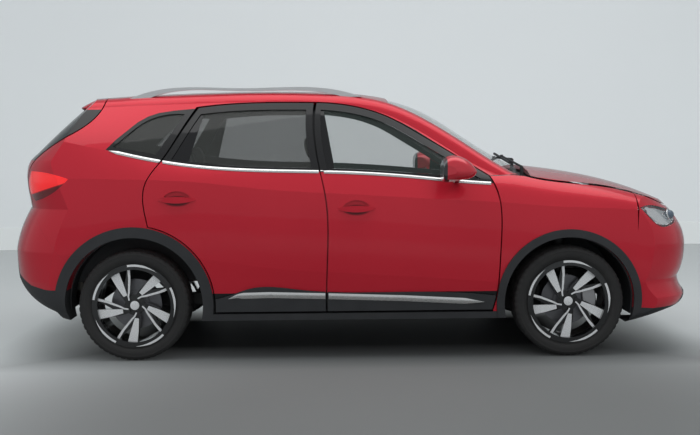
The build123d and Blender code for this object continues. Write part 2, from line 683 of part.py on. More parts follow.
def floor_pan():
    """The floor with its heel step, raised load floor and firewall, as one folded sheet."""
    low, high = FLOOR_Z * HIGH, FLOOR_Z * HIGH + FLOOR_THICKNESS
    wall_x, heel_x = along(FIREWALL_X), along(HEEL_X)
    top = REAR_FLOOR_Z * HIGH
    front = Face(Wire.make_polygon([Vector(x, 0, z) for x, z in (
        (wall_x, low), (wall_x, 1120 * HIGH), (wall_x - 25, 1120 * HIGH), (wall_x - 25, 380 * HIGH),
        (wall_x - 150, high), (heel_x, high), (heel_x, low))]))
    rear = Face(Wire.make_polygon([Vector(x, 0, z) for x, z in (
        (heel_x, low), (heel_x, top), (along(-1925), top), (along(-1925), top - PANEL),
        (heel_x - PANEL, top - PANEL), (heel_x - PANEL, low))]))
    half = FRONT_FLOOR_HALF * WIDE
    narrow = REAR_FLOOR_HALF * WIDE
    pan = across(front, -half, half) & cabin_form(BODY_WALL._replace(floor=0, side=BODY_WALL.side + REST_GAP))
    pan = fused(pan, across(rear, -narrow, narrow))
    wheel_room = arch_space(FRONT_AXLE_X, FRONT_ARCH_RADIUS, FRONT_LINER_INNER * WIDE - REST_GAP)
    cowl_room = block((along(900), LENGTH), (-FAR, FAR), (900 * HIGH, 2000)) - front_form(COWL_REST)
    return biggest(pan - wheel_room - mirrored(wheel_room) - cowl_room)


def windscreen():
    shell = cabin_wall(GLASS_OUT, GLASS_IN)
    return biggest(shell & upright(screen_plan(SCREEN_FOOT, GLASS_FIT), 1000 * HIGH))


GATE_GLASS_Z = (1225.0, 1475.0)
GATE_GLASS_HALF = (590.0, 500.0)


def gate_glass_prism(fit=0.0):
    """The rear window's opening, seen from behind."""
    foot, top = GATE_GLASS_Z[0] * HIGH + fit, GATE_GLASS_Z[1] * HIGH - fit
    low_half, high_half = (half * WIDE - fit for half in GATE_GLASS_HALF)
    face = Face(Wire.make_polygon([Vector(-LENGTH, y, z) for y, z in (
        (-low_half, foot), (low_half, foot), (high_half, top), (-high_half, top))]))
    return Solid.extrude(face, Vector(LENGTH * 0.75, 0, 0))


SPOILER = [(-1652, 1555), (-1700, 1532), (-1734, 1513), (-1733, 1506), (-1712, 1500), (-1700, 1494)]
SPOILER_HALF = 535.0
SPOILER_TUCK = 20.0
SPOILER_SLICES = (-1, -0.92, -0.6, -0.3, 0, 0.3, 0.6, 0.92, 1)


def spoiler():
    """The lip over the rear window, swept as the tail is and tucked in at its two ends."""
    slices = []
    for share in SPOILER_SLICES:
        y = share * SPOILER_HALF * WIDE
        back = bow(y) + SPOILER_TUCK * (abs(share) == 1)
        slices.append(Wire.make_polygon([Vector(along(x) + back, y, z * HIGH) for x, z in SPOILER]))
    return Solid.make_loft(slices)


def tailgate():
    face = resized(gate_region(), -SHUT_GAP)
    panel = cabin_wall(SKIN, BODY_WALL) & across(face, -FAR, FAR)
    return biggest(fused(biggest(panel - gate_glass_prism()), spoiler()))


def rear_window():
    shell = cabin_wall(GLASS_OUT, GLASS_IN)
    return biggest(shell & gate_glass_prism(GLASS_FIT) & across(resized(gate_region(), -SHUT_GAP), -FAR, FAR))


UNDER_HALF = 620.0
REAR_OPEN_Z = 290.0
PIPE_CLEAR = 8.0


def rear_bumper_shell():
    shell = cabin_wall(SKIN, BODY_WALL) & across(resized(rear_region(), -REST_GAP), -FAR, FAR)
    arch = arch_space(REAR_AXLE_X, REAR_ARCH_RADIUS, 500)
    open_floor = block((-LENGTH, along(-1500)), (-UNDER_HALF * WIDE, UNDER_HALF * WIDE), (0, REAR_OPEN_Z))
    return shell - arch - mirrored(arch) - open_floor


def rear_bumper():
    return biggest(rear_bumper_shell() - across(below(REAR_SKIRT), -FAR, FAR))


def rear_skirt():
    skirt = rear_bumper_shell() & across(below(REAR_SKIRT), -FAR, FAR)
    return biggest(skirt - tail_bore(TAILPIPE_RADIUS + PIPE_CLEAR, 1.6))


def tail_lamp():
    lamp = resized(side_face(TAIL_LAMP, TAIL_LAMP_BACK, TAIL_LAMP_FOOT), -REST_GAP)
    return biggest((cabin_form(SKIN) - cabin_form(LAMP_WALL)) & across(lamp, 300))


# ---- front panels ---------------------------------------------------------------------------------------
HOOD_REAR = (1112.0, 1062.0)
HOOD_REAR_HALF = 806.0
# the hood opens by HOOD_SWING degrees about a line across the car through HOOD_HINGE, (x, z)
HOOD_SWING = 50.0
HOOD_HINGE = (along(1085), 1118.0 * HIGH)


def above(line, ceiling=1700.0):
    """The side view above a spline."""
    return side_face(line, [line[-1], (line[-1][0], ceiling)], [(line[-1][0], ceiling), (line[0][0], ceiling)],
                     [(line[0][0], ceiling), line[0]])


def hood_plan(back=0.0):
    """The plan ahead of the hood's bowed rear edge."""
    centre, corner = HOOD_REAR
    edge = Edge.make_three_point_arc((along(corner) - back, -HOOD_REAR_HALF, 0), (along(centre) - back, 0, 0),
                                     (along(corner) - back, HOOD_REAR_HALF, 0))
    ahead = [Vector(LENGTH, HOOD_REAR_HALF, 0), Vector(LENGTH, -HOOD_REAR_HALF, 0)]
    rest = Wire.make_polygon([edge @ 1, *ahead, edge @ 0], close=False)
    return Face(Wire([edge] + list(rest.edges())))


def hood():
    prism = across(resized(above(HOOD_LINE), -SHUT_GAP), -FAR, FAR)
    return biggest(front_wall(SKIN, FRONT_WALL) & prism & upright(hood_plan()))


def ahead_of_seam():
    return side_polygon(BUMPER_SEAM + [(1692, 1300), (2500, 1300), (2500, 0), (1400, 0), (1400, 560)])


FENDER_INNER_Y = 702.0
FENDER_FOOT_Z = 236.0


def fender():
    """The left front wing, from door and pillar to the bumper's seam."""
    low, corner = (DOOR_FRONT[0][0], 100), HOOD_LINE[3]
    outline = side_face(DOOR_FRONT, [DOOR_FRONT[-1], SCUTTLE], [SCUTTLE, HOOD_LINE[0]], HOOD_LINE[:4],
                        [corner, (corner[0], low[1])], [(corner[0], low[1]), low], [low, DOOR_FRONT[0]])
    prism = across(resized(outline, -SHUT_GAP / 2), FENDER_INNER_Y * WIDE)
    panel = front_wall(SKIN, FRONT_WALL) & prism
    panel = panel - across(ahead_of_seam(), 0) - arch_space(FRONT_AXLE_X, FRONT_ARCH_RADIUS, 400)
    return biggest(panel - block((0, LENGTH), (0, FAR), (0, FENDER_FOOT_Z * HIGH)))


LAMP_INNER = 500.0
GRILLE_Z = (776.0, 842.0)
INTAKE_Z = (392.0, 520.0)
INTAKE_HALF = 470.0
INTAKE_X = 1900.0
FRONT_FOOT_Z = 190.0
LAMP_SURROUND = 12.0


def lamp_face():
    return side_face(HEADLAMP, [HEADLAMP[-1], HEADLAMP_FOOT[0]], HEADLAMP_FOOT)


def grille_hole(fit=0.0):
    half = LAMP_INNER * WIDE - LAMP_SURROUND - fit
    top = block((0, LENGTH), (-half, half), (GRILLE_Z[0] * HIGH + fit, GRILLE_Z[1] * HIGH - fit))
    wide = INTAKE_HALF * WIDE - fit
    low = block((along(INTAKE_X), LENGTH), (-wide, wide), (INTAKE_Z[0] * HIGH + fit, INTAKE_Z[1] * HIGH - fit))
    return top, low


def front_bumper_shell():
    shell = front_wall(SKIN, FRONT_WALL) & across(ahead_of_seam(), -FAR, FAR)
    shell = shell - across(resized(above(HOOD_LINE), 0.01), -FAR, FAR)
    arch = arch_space(FRONT_AXLE_X, FRONT_ARCH_RADIUS, 400)
    under = block((0, along(1760)), (-UNDER_HALF * WIDE, UNDER_HALF * WIDE), (0, 1200))
    shell = shell - arch - mirrored(arch) - under
    return shell - block((0, LENGTH), (-FAR, FAR), (0, FRONT_FOOT_Z * HIGH))


def front_bumper():
    lamps = across(lamp_face(), (LAMP_INNER - 3) * WIDE)
    top, low = grille_hole()
    shell = front_bumper_shell() - lamps - mirrored(lamps) - top - low
    return biggest(shell - across(below(FRONT_LIP), -FAR, FAR))


def front_lip():
    return biggest(front_bumper_shell() & across(resized(below(FRONT_LIP), -REST_GAP), -FAR, FAR))


def headlamp():
    lamp = across(resized(lamp_face(), -REST_GAP), LAMP_INNER * WIDE)
    return biggest((front_form(SKIN) - front_form(LAMP_WALL)) & lamp)


GRILLE_OUT = Wall(10, 10, 10, 10, 10)
GRILLE_IN = Wall(20, 20, 20, 20, 20)
GRILLE_BAR = 11.0


def grille():
    """The upper grille and the lower intake's mesh: two bowed plates pierced by rows of slots."""
    plate = front_wall(GRILLE_OUT, GRILLE_IN)
    parts = []
    for hole, rows, columns in zip(grille_hole(REST_GAP), (3, 5), (6, 10)):
        sheet = biggest(plate & hole)
        box = sheet.bounding_box()
        high = (box.size.Z - GRILLE_BAR) / rows
        wide = (box.size.Y - GRILLE_BAR) / columns
        slots = [block((0, LENGTH), (box.min.Y + GRILLE_BAR + wide * c, box.min.Y + wide * (c + 1)),
                       (box.min.Z + GRILLE_BAR + high * r, box.min.Z + high * (r + 1)))
                 for r in range(rows) for c in range(columns)]
        parts.append(biggest(sheet.cut(*slots)))
    return Compound(children=parts)


# ---- outer trim on the body -----------------------------------------------------------------------------
def arch_band(form_wall, x, arch, band, limit):
    ring = tube_y(x, HUB_Z, band, DOOR_INSIDE_Y, FAR) - tube_y(x, HUB_Z, arch, DOOR_INSIDE_Y - 1, FAR + 1)
    return biggest(form_wall & ring & limit)


ROCKER_Z = (238.0, 276.0)


def arch_cladding():
    """The left side's wheel-arch bands and the rocker strip below its doors."""
    low, high = ROCKER_Z[0] * HIGH, ROCKER_Z[1] * HIGH
    above_rocker = block((-LENGTH, LENGTH), (0, FAR), (low, 2000))
    door_edge = resized(front_door_face(), SHUT_GAP / 2)
    front = arch_band(front_wall(CLADDING, SKIN), FRONT_AXLE_X, FRONT_ARCH_RADIUS, FRONT_BAND_RADIUS,
                      above_rocker - across(door_edge))
    rear = arch_band(cabin_wall(CLADDING, SKIN), REAR_AXLE_X, REAR_ARCH_RADIUS, REAR_BAND_RADIUS, above_rocker)
    strip = block((REAR_AXLE_X + REAR_BAND_RADIUS - 30, FRONT_AXLE_X - FRONT_BAND_RADIUS + 20), (700, FAR), (low, high))
    strip = (cabin_wall(CLADDING, SKIN) & strip) - tube_y(REAR_AXLE_X, HUB_Z, REAR_BAND_RADIUS, 0, FAR)
    strip = strip - tube_y(FRONT_AXLE_X, HUB_Z, FRONT_BAND_RADIUS, 0, FAR)
    return Compound(children=[front, rear, biggest(strip - front_form(SKIN))])


RAIL_Y = 596.0
RAIL_X = (60.0, -1380.0)
RAIL_WIDTH = 26.0
ROOF_EDGE_Z = 1575.0


def roof_rail():
    """The left roof rail: a bowed bar that runs down to the roof at its two feet."""
    front, rear, y = along(RAIL_X[0]), along(RAIL_X[1]), RAIL_Y * WIDE
    roof_z = ROOF_EDGE_Z * HIGH
    outer = Edge.make_spline([Vector(front, y, roof_z - 12), Vector(front - 130, y, roof_z + 26),
                              Vector((front + rear) / 2, y, roof_z + 44), Vector(rear + 130, y, roof_z + 20),
                              Vector(rear, y, roof_z - 30)])
    inner = Edge.make_spline([Vector(rear + 110, y, roof_z - 30), Vector(rear + 190, y, roof_z + 2),
                              Vector((front + rear) / 2, y, roof_z + 27), Vector(front - 190, y, roof_z + 8),
                              Vector(front - 110, y, roof_z - 12)])
    face = Face(Wire([outer, Edge.make_line(outer @ 1, inner @ 0), inner, Edge.make_line(inner @ 1, outer @ 0)]))
    bar = Solid.extrude(face.moved(Location((0, -RAIL_WIDTH / 2, 0))), Vector(0, RAIL_WIDTH, 0))
    return biggest(bar - cabin_form(SKIN))


COWL_HALF = 690.0
COWL_BACK, COWL_AHEAD = 90.0, 70.0
HOOD_SEAL = (26.0, 38.0)


def cowl():
    """The scuttle between windscreen and hood, with the rubber lip on which the shut hood rests."""
    top = block((0, LENGTH), (-COWL_HALF * WIDE, COWL_HALF * WIDE), (900 * HIGH, 2000))
    sheet = front_wall(COWL_OUT, COWL_IN) & (upright(hood_plan(COWL_BACK)) - upright(hood_plan(-COWL_AHEAD)))
    strip = upright(hood_plan(-HOOD_SEAL[0])) - upright(hood_plan(-HOOD_SEAL[1]))
    lip = front_wall(Wall(*[thickness + REST_GAP for thickness in FRONT_WALL]), COWL_IN) & strip
    return biggest(fused(biggest(sheet & top), biggest(lip & top)))


WIPER_FOOT = ((1050, -560), (1078, -60))
WIPER_BLADE = 560.0
WIPER_REACH = 330.0
WIPER_ENDS = ((66, -0.5), (72, 0.5))
SPINDLE_TUBE = 11.0
WIPER_LIFT = 20.0
BLADE_RADIUS = 8.0
WIPER_ARM_RADIUS = 7.0


def height_on(form, x, y):
    """The height of a form's top skin above a point in plan."""
    column = form & block((x - 0.5, x + 0.5), (y - 0.5, y + 0.5), (700 * HIGH, 2000))
    return column.bounding_box().max.Z


def wiper(foot):
    """One wiper: a spindle on the cowl, an arm, and a blade laid along the windscreen's foot."""
    x, y = along(foot[0]), foot[1] * WIDE
    on_cowl = height_on(front_form(COWL_OUT), x, y) + 6 * REST_GAP
    skin = cabin_form(SKIN)
    on_glass = lambda px, py: (px, py, height_on(skin, px, py) + WIPER_LIFT)
    reach = y + WIPER_REACH * WIDE
    blade_from, blade_to = (on_glass(x - back, reach + end * WIPER_BLADE) for back, end in WIPER_ENDS)
    middle = tuple((a + b) / 2 for a, b in zip(blade_from, blade_to))
    elbow = (x, y, max(on_cowl, height_on(skin, x - 20, y) + 26))
    spindle = tube_z(x, y, SPINDLE_TUBE, on_cowl, elbow[2])
    pivot = (middle[0], middle[1], middle[2] + 12)
    return fused(spindle, rod(elbow, pivot, WIPER_ARM_RADIUS), rod(blade_from, blade_to, BLADE_RADIUS),
                 tube_z(*middle[:2], WIPER_ARM_RADIUS + 2.5, middle[2], pivot[2] + WIPER_ARM_RADIUS + 2))


# ---- wheels ---------------------------------------------------------------------------------------------
def turned(points, x, y):
    """A ring about a wheel's axis from a profile of (distance outboard, radius)."""
    face = Face(Wire.make_polygon([Vector(x, y + out, HUB_Z + radius) for out, radius in points]))
    return Solid.revolve(face, 360, Axis((x, 0, HUB_Z), (0, 1, 0)))


def tyre(x):
    """A left tyre with rounded shoulders and bulged sidewalls, on its rim's seat."""
    half = TYRE_WIDTH / 2
    bead = RIM_HALF - REST_GAP
    at = lambda out, radius: Vector(x, WHEEL_Y + out, HUB_Z + radius)
    crown = (half - 30, TYRE_RADIUS - 2.5)
    edges = []
    for side in (1, -1):
        flank = at(side * half, RIM_RADIUS + 58)
        shoulder = at(side * (half - 8), TYRE_RADIUS - 22)
        edges += [Edge.make_line(at(side * bead, RIM_RADIUS), at(side * bead, RIM_RADIUS + RIM_FLANGE)),
                  Edge.make_three_point_arc(at(side * bead, RIM_RADIUS + RIM_FLANGE),
                                            at(side * (half - 5), RIM_RADIUS + RIM_FLANGE + 14), flank),
                  Edge.make_line(flank, shoulder),
                  Edge.make_three_point_arc(shoulder, at(side * (half - 15), TYRE_RADIUS - 8),
                                            at(side * crown[0], crown[1]))]
    edges.append(Edge.make_three_point_arc(at(-crown[0], crown[1]), at(0, TYRE_RADIUS), at(*crown)))
    edges.append(Edge.make_line(at(-bead, RIM_RADIUS), at(bead, RIM_RADIUS)))
    return Solid.revolve(Face(Wire(edges)), 360, Axis((x, 0, HUB_Z), (0, 1, 0)))


SPOKES = 5
FACE_OUT = 74.0
HUB_BACK = 22.0
FLANGE_DEPTH = 9.0
FLANGE_LEAN = 1.5
SPOKE_DEPTH = 40.0
SPOKE_REACH = RIM_RADIUS - BARREL_WALL / 2
BROAD_SPOKE = ((50, 62, 80), (SPOKE_REACH, 96, 40), (54, 34, 30))
THIN_SPOKE = ((26, 68, 88), (SPOKE_REACH, 84, 44), (16, 16, 16))


def spoke_blade(angles, radii, widths, x):
    """A spoke through points about the wheel's axis, as a strip of the widths between them."""
    points = [(r * math.cos(math.radians(a)), r * math.sin(math.radians(a))) for a, r in zip(angles, radii)]
    left, right = [], []
    for n, (px, pz) in enumerate(points):
        before, after = points[max(n - 1, 0)], points[min(n + 1, len(points) - 1)]
        way = math.atan2(after[1] - before[1], after[0] - before[0])
        half = widths[n] / 2
        left.append((px - half * math.sin(way), pz + half * math.cos(way)))
        right.append((px + half * math.sin(way), pz - half * math.cos(way)))
    ring = left + list(reversed(right))
    face = Face(Wire.make_polygon([Vector(x + px, WHEEL_Y + FACE_OUT - SPOKE_DEPTH, HUB_Z + pz) for px, pz in ring]))
    return Solid.extrude(face, Vector(0, SPOKE_DEPTH, 0))


def rim(x):
    """A left five-spoke rim: barrel, flanges, hub and paired broad and thin spokes."""
    half, lip = RIM_HALF, RIM_FLANGE
    barrel = turned([(-half, RIM_RADIUS - BARREL_WALL), (half, RIM_RADIUS - BARREL_WALL), (half, RIM_RADIUS),
                     (-half, RIM_RADIUS)], x, WHEEL_Y)
    inside = RIM_RADIUS - BARREL_WALL
    flanges = [turned([(side * half, inside), (side * (half + FLANGE_DEPTH), inside),
                       (side * (half + FLANGE_DEPTH), RIM_RADIUS + lip), (side * (half + FLANGE_LEAN), RIM_RADIUS + lip),
                       (side * half, RIM_RADIUS)], x, WHEEL_Y) for side in (1, -1)]
    hub = tube_y(x, HUB_Z, HUB_RADIUS, WHEEL_Y + HUB_BACK, WHEEL_Y + FACE_OUT - 14)
    cap = tube_y(x, HUB_Z, HUB_RADIUS * 0.45, WHEEL_Y + HUB_BACK, WHEEL_Y + FACE_OUT - 8)
    parts = [barrel, *flanges, hub, cap]
    for n in range(SPOKES):
        for angles, radii, widths in (BROAD_SPOKE, THIN_SPOKE):
            turned_angles = [angle + 360 / SPOKES * n for angle in angles]
            parts.append(spoke_blade(turned_angles, radii, widths, x))
    wheel = fused(*parts)
    return biggest(wheel - tube_y(x, HUB_Z, SPINDLE_RADIUS + RUNNING_FIT, WHEEL_Y, WHEEL_Y + 40))


DISC_Y = WHEEL_Y + 8.0


def brake_disc(x):
    """A left brake disc with its top hat, bolted to the back of the wheel's hub."""
    disc = tube_y(x, HUB_Z, BRAKE_DISC_RADIUS, DISC_Y - BRAKE_DISC_WIDTH, DISC_Y)
    hat = tube_y(x, HUB_Z, HUB_RADIUS + 16, DISC_Y - BRAKE_DISC_WIDTH, WHEEL_Y + 22)
    return biggest(fused(disc, hat) - tube_y(x, HUB_Z, SPINDLE_RADIUS + RUNNING_FIT, 0, FAR))


# ---- what carries the wheels ------------------------------------------------------------------------------
CALIPER_CLEAR = 5.0
KINGPIN_Y = WHEEL_Y - KINGPIN_INSET
BALL_RADIUS = 12.0
ARM_RADIUS = 17.0
EYE_HALF = 21.0
JOINT_Z = (HUB_Z - 140, HUB_Z + 128)


def caliper(x, turn):
    """A brake caliper that straddles the disc's edge at an angle about the axle."""
    near, far = BRAKE_DISC_RADIUS - 52, BRAKE_DISC_RADIUS + 30
    body = block((near, far), (DISC_Y - BRAKE_DISC_WIDTH - 42, DISC_Y + 20), (-58, 58), 6)
    slot = block((0, BRAKE_DISC_RADIUS + CALIPER_CLEAR), (DISC_Y - BRAKE_DISC_WIDTH - CALIPER_CLEAR, DISC_Y + CALIPER_CLEAR),
                 (-80, 80))
    bracket = block((60, near + 20), (DISC_Y - BRAKE_DISC_WIDTH - 40, DISC_Y - BRAKE_DISC_WIDTH - 16), (-34, 34))
    shape = fused(body, bracket) - slot
    return biggest(shape).rotate(Axis((0, 0, 0), (0, 1, 0)), -turn).moved(Location((x, 0, HUB_Z)))


def knuckle():
    """The left front upright: spindle, upright, ball-joint eyes and caliper, turning on its kingpin."""
    back = DISC_Y - BRAKE_DISC_WIDTH - 16
    spindle = tube_y(FRONT_AXLE_X, HUB_Z, SPINDLE_RADIUS, back - 30, WHEEL_Y + 40 - 6)
    plate = tube_y(FRONT_AXLE_X, HUB_Z, 72, back - 34, back)
    upright_bar = block((FRONT_AXLE_X - 26, FRONT_AXLE_X + 26), (KINGPIN_Y - 22, KINGPIN_Y + 22),
                        (JOINT_Z[0] + EYE_HALF + 5, JOINT_Z[1] - EYE_HALF - 5), 8)
    pins = [tube_z(FRONT_AXLE_X, KINGPIN_Y, BALL_RADIUS, JOINT_Z[0] - 16, HUB_Z),
            tube_z(FRONT_AXLE_X, KINGPIN_Y, BALL_RADIUS, HUB_Z, JOINT_Z[1] + 16)]
    return biggest(fused(upright_bar, plate, spindle, caliper(FRONT_AXLE_X, 7), *pins))


RAIL_HALF = (406.0, 456.0)
STRUT_Y = 545.0


def front_subframe():
    """The front rails, crossmember, bumper beam, lower and upper arms and struts, as one welded frame."""
    parts = []
    firewall = along(FIREWALL_X) + REST_GAP
    nose = along(1985)
    cross_y = RAIL_HALF[1] * WIDE
    parts.append(block((along(1150), along(1400)), (-cross_y, cross_y), (220 * HIGH, ENGINE_Z[0] * HIGH)))
    parts.append(block((nose - 40, nose), (-cross_y - 40, cross_y + 40), (380 * HIGH, 470 * HIGH)))
    for side in (1, -1):
        inner, outer = RAIL_HALF[0] * WIDE, RAIL_HALF[1] * WIDE
        span = (inner, outer) if side > 0 else (-outer, -inner)
        parts.append(block((firewall, nose - 20), span, (380 * HIGH, 470 * HIGH)))
        parts.append(block((along(1200), along(1340)), span, (250 * HIGH, 420 * HIGH)))
        for z in JOINT_Z:
            root = (FRONT_AXLE_X, side * (outer - 20), z)
            tip = (FRONT_AXLE_X, side * KINGPIN_Y, z)
            parts.append(rod(root, tip, ARM_RADIUS))
            eye = tube_z(FRONT_AXLE_X, side * KINGPIN_Y, BALL_RADIUS + 12, z - EYE_HALF, z + EYE_HALF)
            parts.append(eye)
        parts.append(block((FRONT_AXLE_X - 22, FRONT_AXLE_X + 22), (span[0], span[1]), (JOINT_Z[0] - 10, 260 * HIGH)))
        parts.append(tube_z(FRONT_AXLE_X, side * STRUT_Y * WIDE, 26, JOINT_Z[1], HUB_Z + FRONT_ARCH_RADIUS - 24))
        parts.append(tube_z(FRONT_AXLE_X, side * STRUT_Y * WIDE, 46, JOINT_Z[1] + 60, HUB_Z + FRONT_ARCH_RADIUS - 24))
    frame = fused(*parts)
    for side in (1, -1):
        frame = frame - tube_z(FRONT_AXLE_X, side * KINGPIN_Y, BALL_RADIUS + RUNNING_FIT, 0, 900)
    return biggest(frame)


ARM_Y = 575.0
BEAM_X = REAR_AXLE_X + 150.0
BEAM_RADIUS = 42.0


def rear_axle():
    """The torsion beam with its trailing arms, spindles and calipers."""
    back = DISC_Y - BRAKE_DISC_WIDTH - 16
    pivot = along(HEEL_X) - PANEL - REST_GAP
    arm_y = ARM_Y * WIDE - 15
    parts = [tube_y(BEAM_X, HUB_Z, BEAM_RADIUS, -arm_y, arm_y)]
    for side in (1, -1):
        span = sorted((side * (arm_y - 28), side * (arm_y + 28)))
        parts.append(block((REAR_AXLE_X - 60, pivot), span, (HUB_Z - 34, HUB_Z + 34)))
        stub = [tube_y(REAR_AXLE_X, HUB_Z, 60, arm_y, back), tube_y(REAR_AXLE_X, HUB_Z, SPINDLE_RADIUS, back - 5, WHEEL_Y + 34),
                caliper(REAR_AXLE_X, 144)]
        parts += stub if side > 0 else [mirrored(piece) for piece in stub]
    return biggest(fused(*parts))


def arch_liner(x, radius, inner, outer, low):
    """A left wheel-arch liner: a half drum over the wheel, closed towards the middle above the axle."""
    drum = tube_y(x, HUB_Z, radius, inner, outer) - tube_y(x, HUB_Z, radius - LINER_THICKNESS, inner + LINER_THICKNESS, outer + 1)
    keep = block((x - 600, x + 600), (inner - 1, outer + 1), (HUB_Z + low, 2000))
    skirt = block((x - 600, x + 600), (inner + LINER_THICKNESS, outer + 1), (250 * HIGH, HUB_Z + low + 1))
    return biggest(drum & fused(keep, skirt))


FRONT_LINER_INNER = 466.0
REAR_LINER_INNER = 596.0


def liners():
    """The left side's front and rear wheel-arch liners."""
    front = arch_liner(FRONT_AXLE_X, FRONT_ARCH_RADIUS - REST_GAP, FRONT_LINER_INNER * WIDE, 846 * WIDE, 170)
    rear = arch_liner(REAR_AXLE_X, REAR_ARCH_RADIUS - REST_GAP, REAR_LINER_INNER * WIDE, 768 * WIDE, 110)
    front = front & front_form(FENDER_ROOM)
    rear = rear & cabin_form(BODY_WALL)
    return Compound(children=[biggest(front), biggest(rear)])


ENGINE_X = (1130.0, 1560.0)
ENGINE_HALF = 380.0
ENGINE_Z = (285.0, 800.0)


def engine_block():
    """The engine and gearbox as one plain block, on the subframe's crossmember."""
    low, high = ENGINE_Z
    return block([along(x) for x in ENGINE_X], (-ENGINE_HALF * WIDE, ENGINE_HALF * WIDE),
                 (low * HIGH + REST_GAP, high * HIGH), 20)


TAILPIPE_RADIUS = 28.0


def tail_bore(radius, share):
    """The tailpipe's run from the silencer, drawn out to a share of its length."""
    start = Vector(along(-1850), -380 * WIDE, 352 * HIGH)
    end = Vector(along(-2045), -400 * WIDE, 238 * HIGH)
    return rod(tuple(start), tuple(start + (end - start) * share), radius)


PIPE_RADIUS = 27.0
HANGER_AT = (350.0, -550.0)


def exhaust():
    """The exhaust: front pipe, silencer across the tail and tailpipe, hung from the floor by its hangers."""
    z = 200 * HIGH
    silencer = block((along(-1880), along(-1680)), (-430 * WIDE, 120 * WIDE), (330 * HIGH, 470 * HIGH), 45)
    under_beam = HUB_Z - BEAM_RADIUS - PIPE_RADIUS - 10
    path = FilletPolyline((along(1000), 0, z), (along(-900), 0, z), (along(-1000), 0, under_beam),
                          (BEAM_X + 100, 0, under_beam), (REAR_AXLE_X - 120, -60, under_beam),
                          (along(-1690), -120, 400 * HIGH), radius=60)
    pipe = sweep(Plane(path @ 0, z_dir=path % 0) * Circle(PIPE_RADIUS), path=path)
    hangers = [block((along(x) - 14, along(x) + 14), (-8, 8), (z + PIPE_RADIUS - 6, FLOOR_Z * HIGH - REST_GAP))
               for x in HANGER_AT]
    hangers.append(block((along(-1800), along(-1770)), (-168, -152),
                         (460 * HIGH, REAR_FLOOR_Z * HIGH - PANEL - REST_GAP)))
    return biggest(fused(silencer, pipe.solid(), tail_bore(TAILPIPE_RADIUS, 1.0), *hangers))


# ---- inside ---------------------------------------------------------------------------------------------
SEAT_Y = 375.0
SEAT_HALF = 255.0
CUSHION_X = (-60.0, 450.0)
SEAT_TOP = 625.0
CUSHION_THICKNESS = 140.0
SEAT_LEAN, BENCH_LEAN = 18.0, 20.0


def front_seat():
    """The left front seat: base, cushion, backrest and headrest."""
    y = SEAT_Y * WIDE
    x0, x1, top = along(CUSHION_X[0]), along(CUSHION_X[1]), SEAT_TOP * HIGH
    floor = FLOOR_Z * HIGH + FLOOR_THICKNESS + REST_GAP
    cushion = block((x0, x1), (y - SEAT_HALF, y + SEAT_HALF), (top - CUSHION_THICKNESS, top), 45)
    base = block((x0 + 50, x1 - 60), (y - SEAT_HALF + 40, y + SEAT_HALF - 40), (floor, top - 100), 10)
    back = block((-60, 60), (y - SEAT_HALF + 12, y + SEAT_HALF - 12), (0, 590), 45)
    head = block((-50, 40), (y - 130, y + 130), (640, 820), 38)
    posts = [tube_z(-5, y + side * 60, 8, 560, 680) for side in (1, -1)]
    rest = fused(back, head, *posts).rotate(Axis.Y, -SEAT_LEAN).moved(Location((x0 + 40, 0, top - 70)))
    return fused(cushion, base, rest)


REAR_BENCH_HALF = 575.0
BENCH_HEAD_Y = 370.0


def rear_seat():
    """The rear bench: cushion, backrest and two headrests."""
    half = REAR_BENCH_HALF * WIDE
    floor = FLOOR_Z * HIGH + FLOOR_THICKNESS + REST_GAP
    x0, x1 = along(HEEL_X) + 6, along(-400)
    top = 640 * HIGH
    base = block((x0 + 20, x1 - 30), (-half + 30, half - 30), (floor, top - 80), 12)
    cushion = block((x0, x1), (-half, half), (top - 130, top), 40)
    back = block((-60, 50), (-half, half), (0, 560), 40)
    places = (-BENCH_HEAD_Y * WIDE, BENCH_HEAD_Y * WIDE)
    heads = [block((-48, 34), (y - 115, y + 115), (575, 720), 34) for y in places]
    posts = [tube_z(-5, y + side * 50, 7, 530, 620) for y in places for side in (1, -1)]
    rest = fused(back, *heads, *posts).rotate(Axis.Y, -BENCH_LEAN).moved(Location((x0 + 10, 0, top - 30)))
    return fused(base, cushion, rest)


DASH_HALF = 690.0
WHEEL_SIDE = -1
STEERING_X, STEERING_Z = 425.0, 905.0
STEERING_TILT = 24.0
STEERING_RADIUS = 182.0
HOOP_RADIUS = 15.0
NECK_LENGTH = 62.0
# the steering wheel turns STEERING_RATIO times as far as the knuckles
STEERING_RATIO = 14.0
STEERING_SPOKES = (0.0, 180.0, 270.0)


def steering_axis():
    """The steering wheel's centre and the way its column runs down and forward."""
    centre = Vector(along(STEERING_X), WHEEL_SIDE * SEAT_Y * WIDE, STEERING_Z * HIGH)
    tilt = math.radians(STEERING_TILT)
    return centre, Vector(math.cos(tilt), 0, -math.sin(tilt))


def dashboard():
    """The dashboard with its column shroud and centre console, seated on the firewall."""
    front = along(FIREWALL_X) - 25 - REST_GAP
    rear = [(along(x), z * HIGH) for x, z in ((640, 1000), (585, 935), (580, 850), (660, 770), (700, 640))]
    outline = [(front, 1000 * HIGH), (front - 200, 1030 * HIGH), *rear, (front, 640 * HIGH)]
    face = Face(Wire.make_polygon([Vector(x, 0, z) for x, z in outline]))
    half = DASH_HALF * WIDE
    panel = across(face, -half, half)
    centre, way = steering_axis()
    start, end = centre + way * NECK_LENGTH, centre + way * 330
    shroud = rod(tuple(start), tuple(end), 48)
    floor = FLOOR_Z * HIGH + FLOOR_THICKNESS + REST_GAP
    console = block((along(-250), along(720)), (-95, 95), (floor, 560 * HIGH), 15)
    stack = block((along(600), along(800)), (-150, 150), (540 * HIGH, 900 * HIGH), 12)
    return biggest(fused(panel, shroud, console, stack))


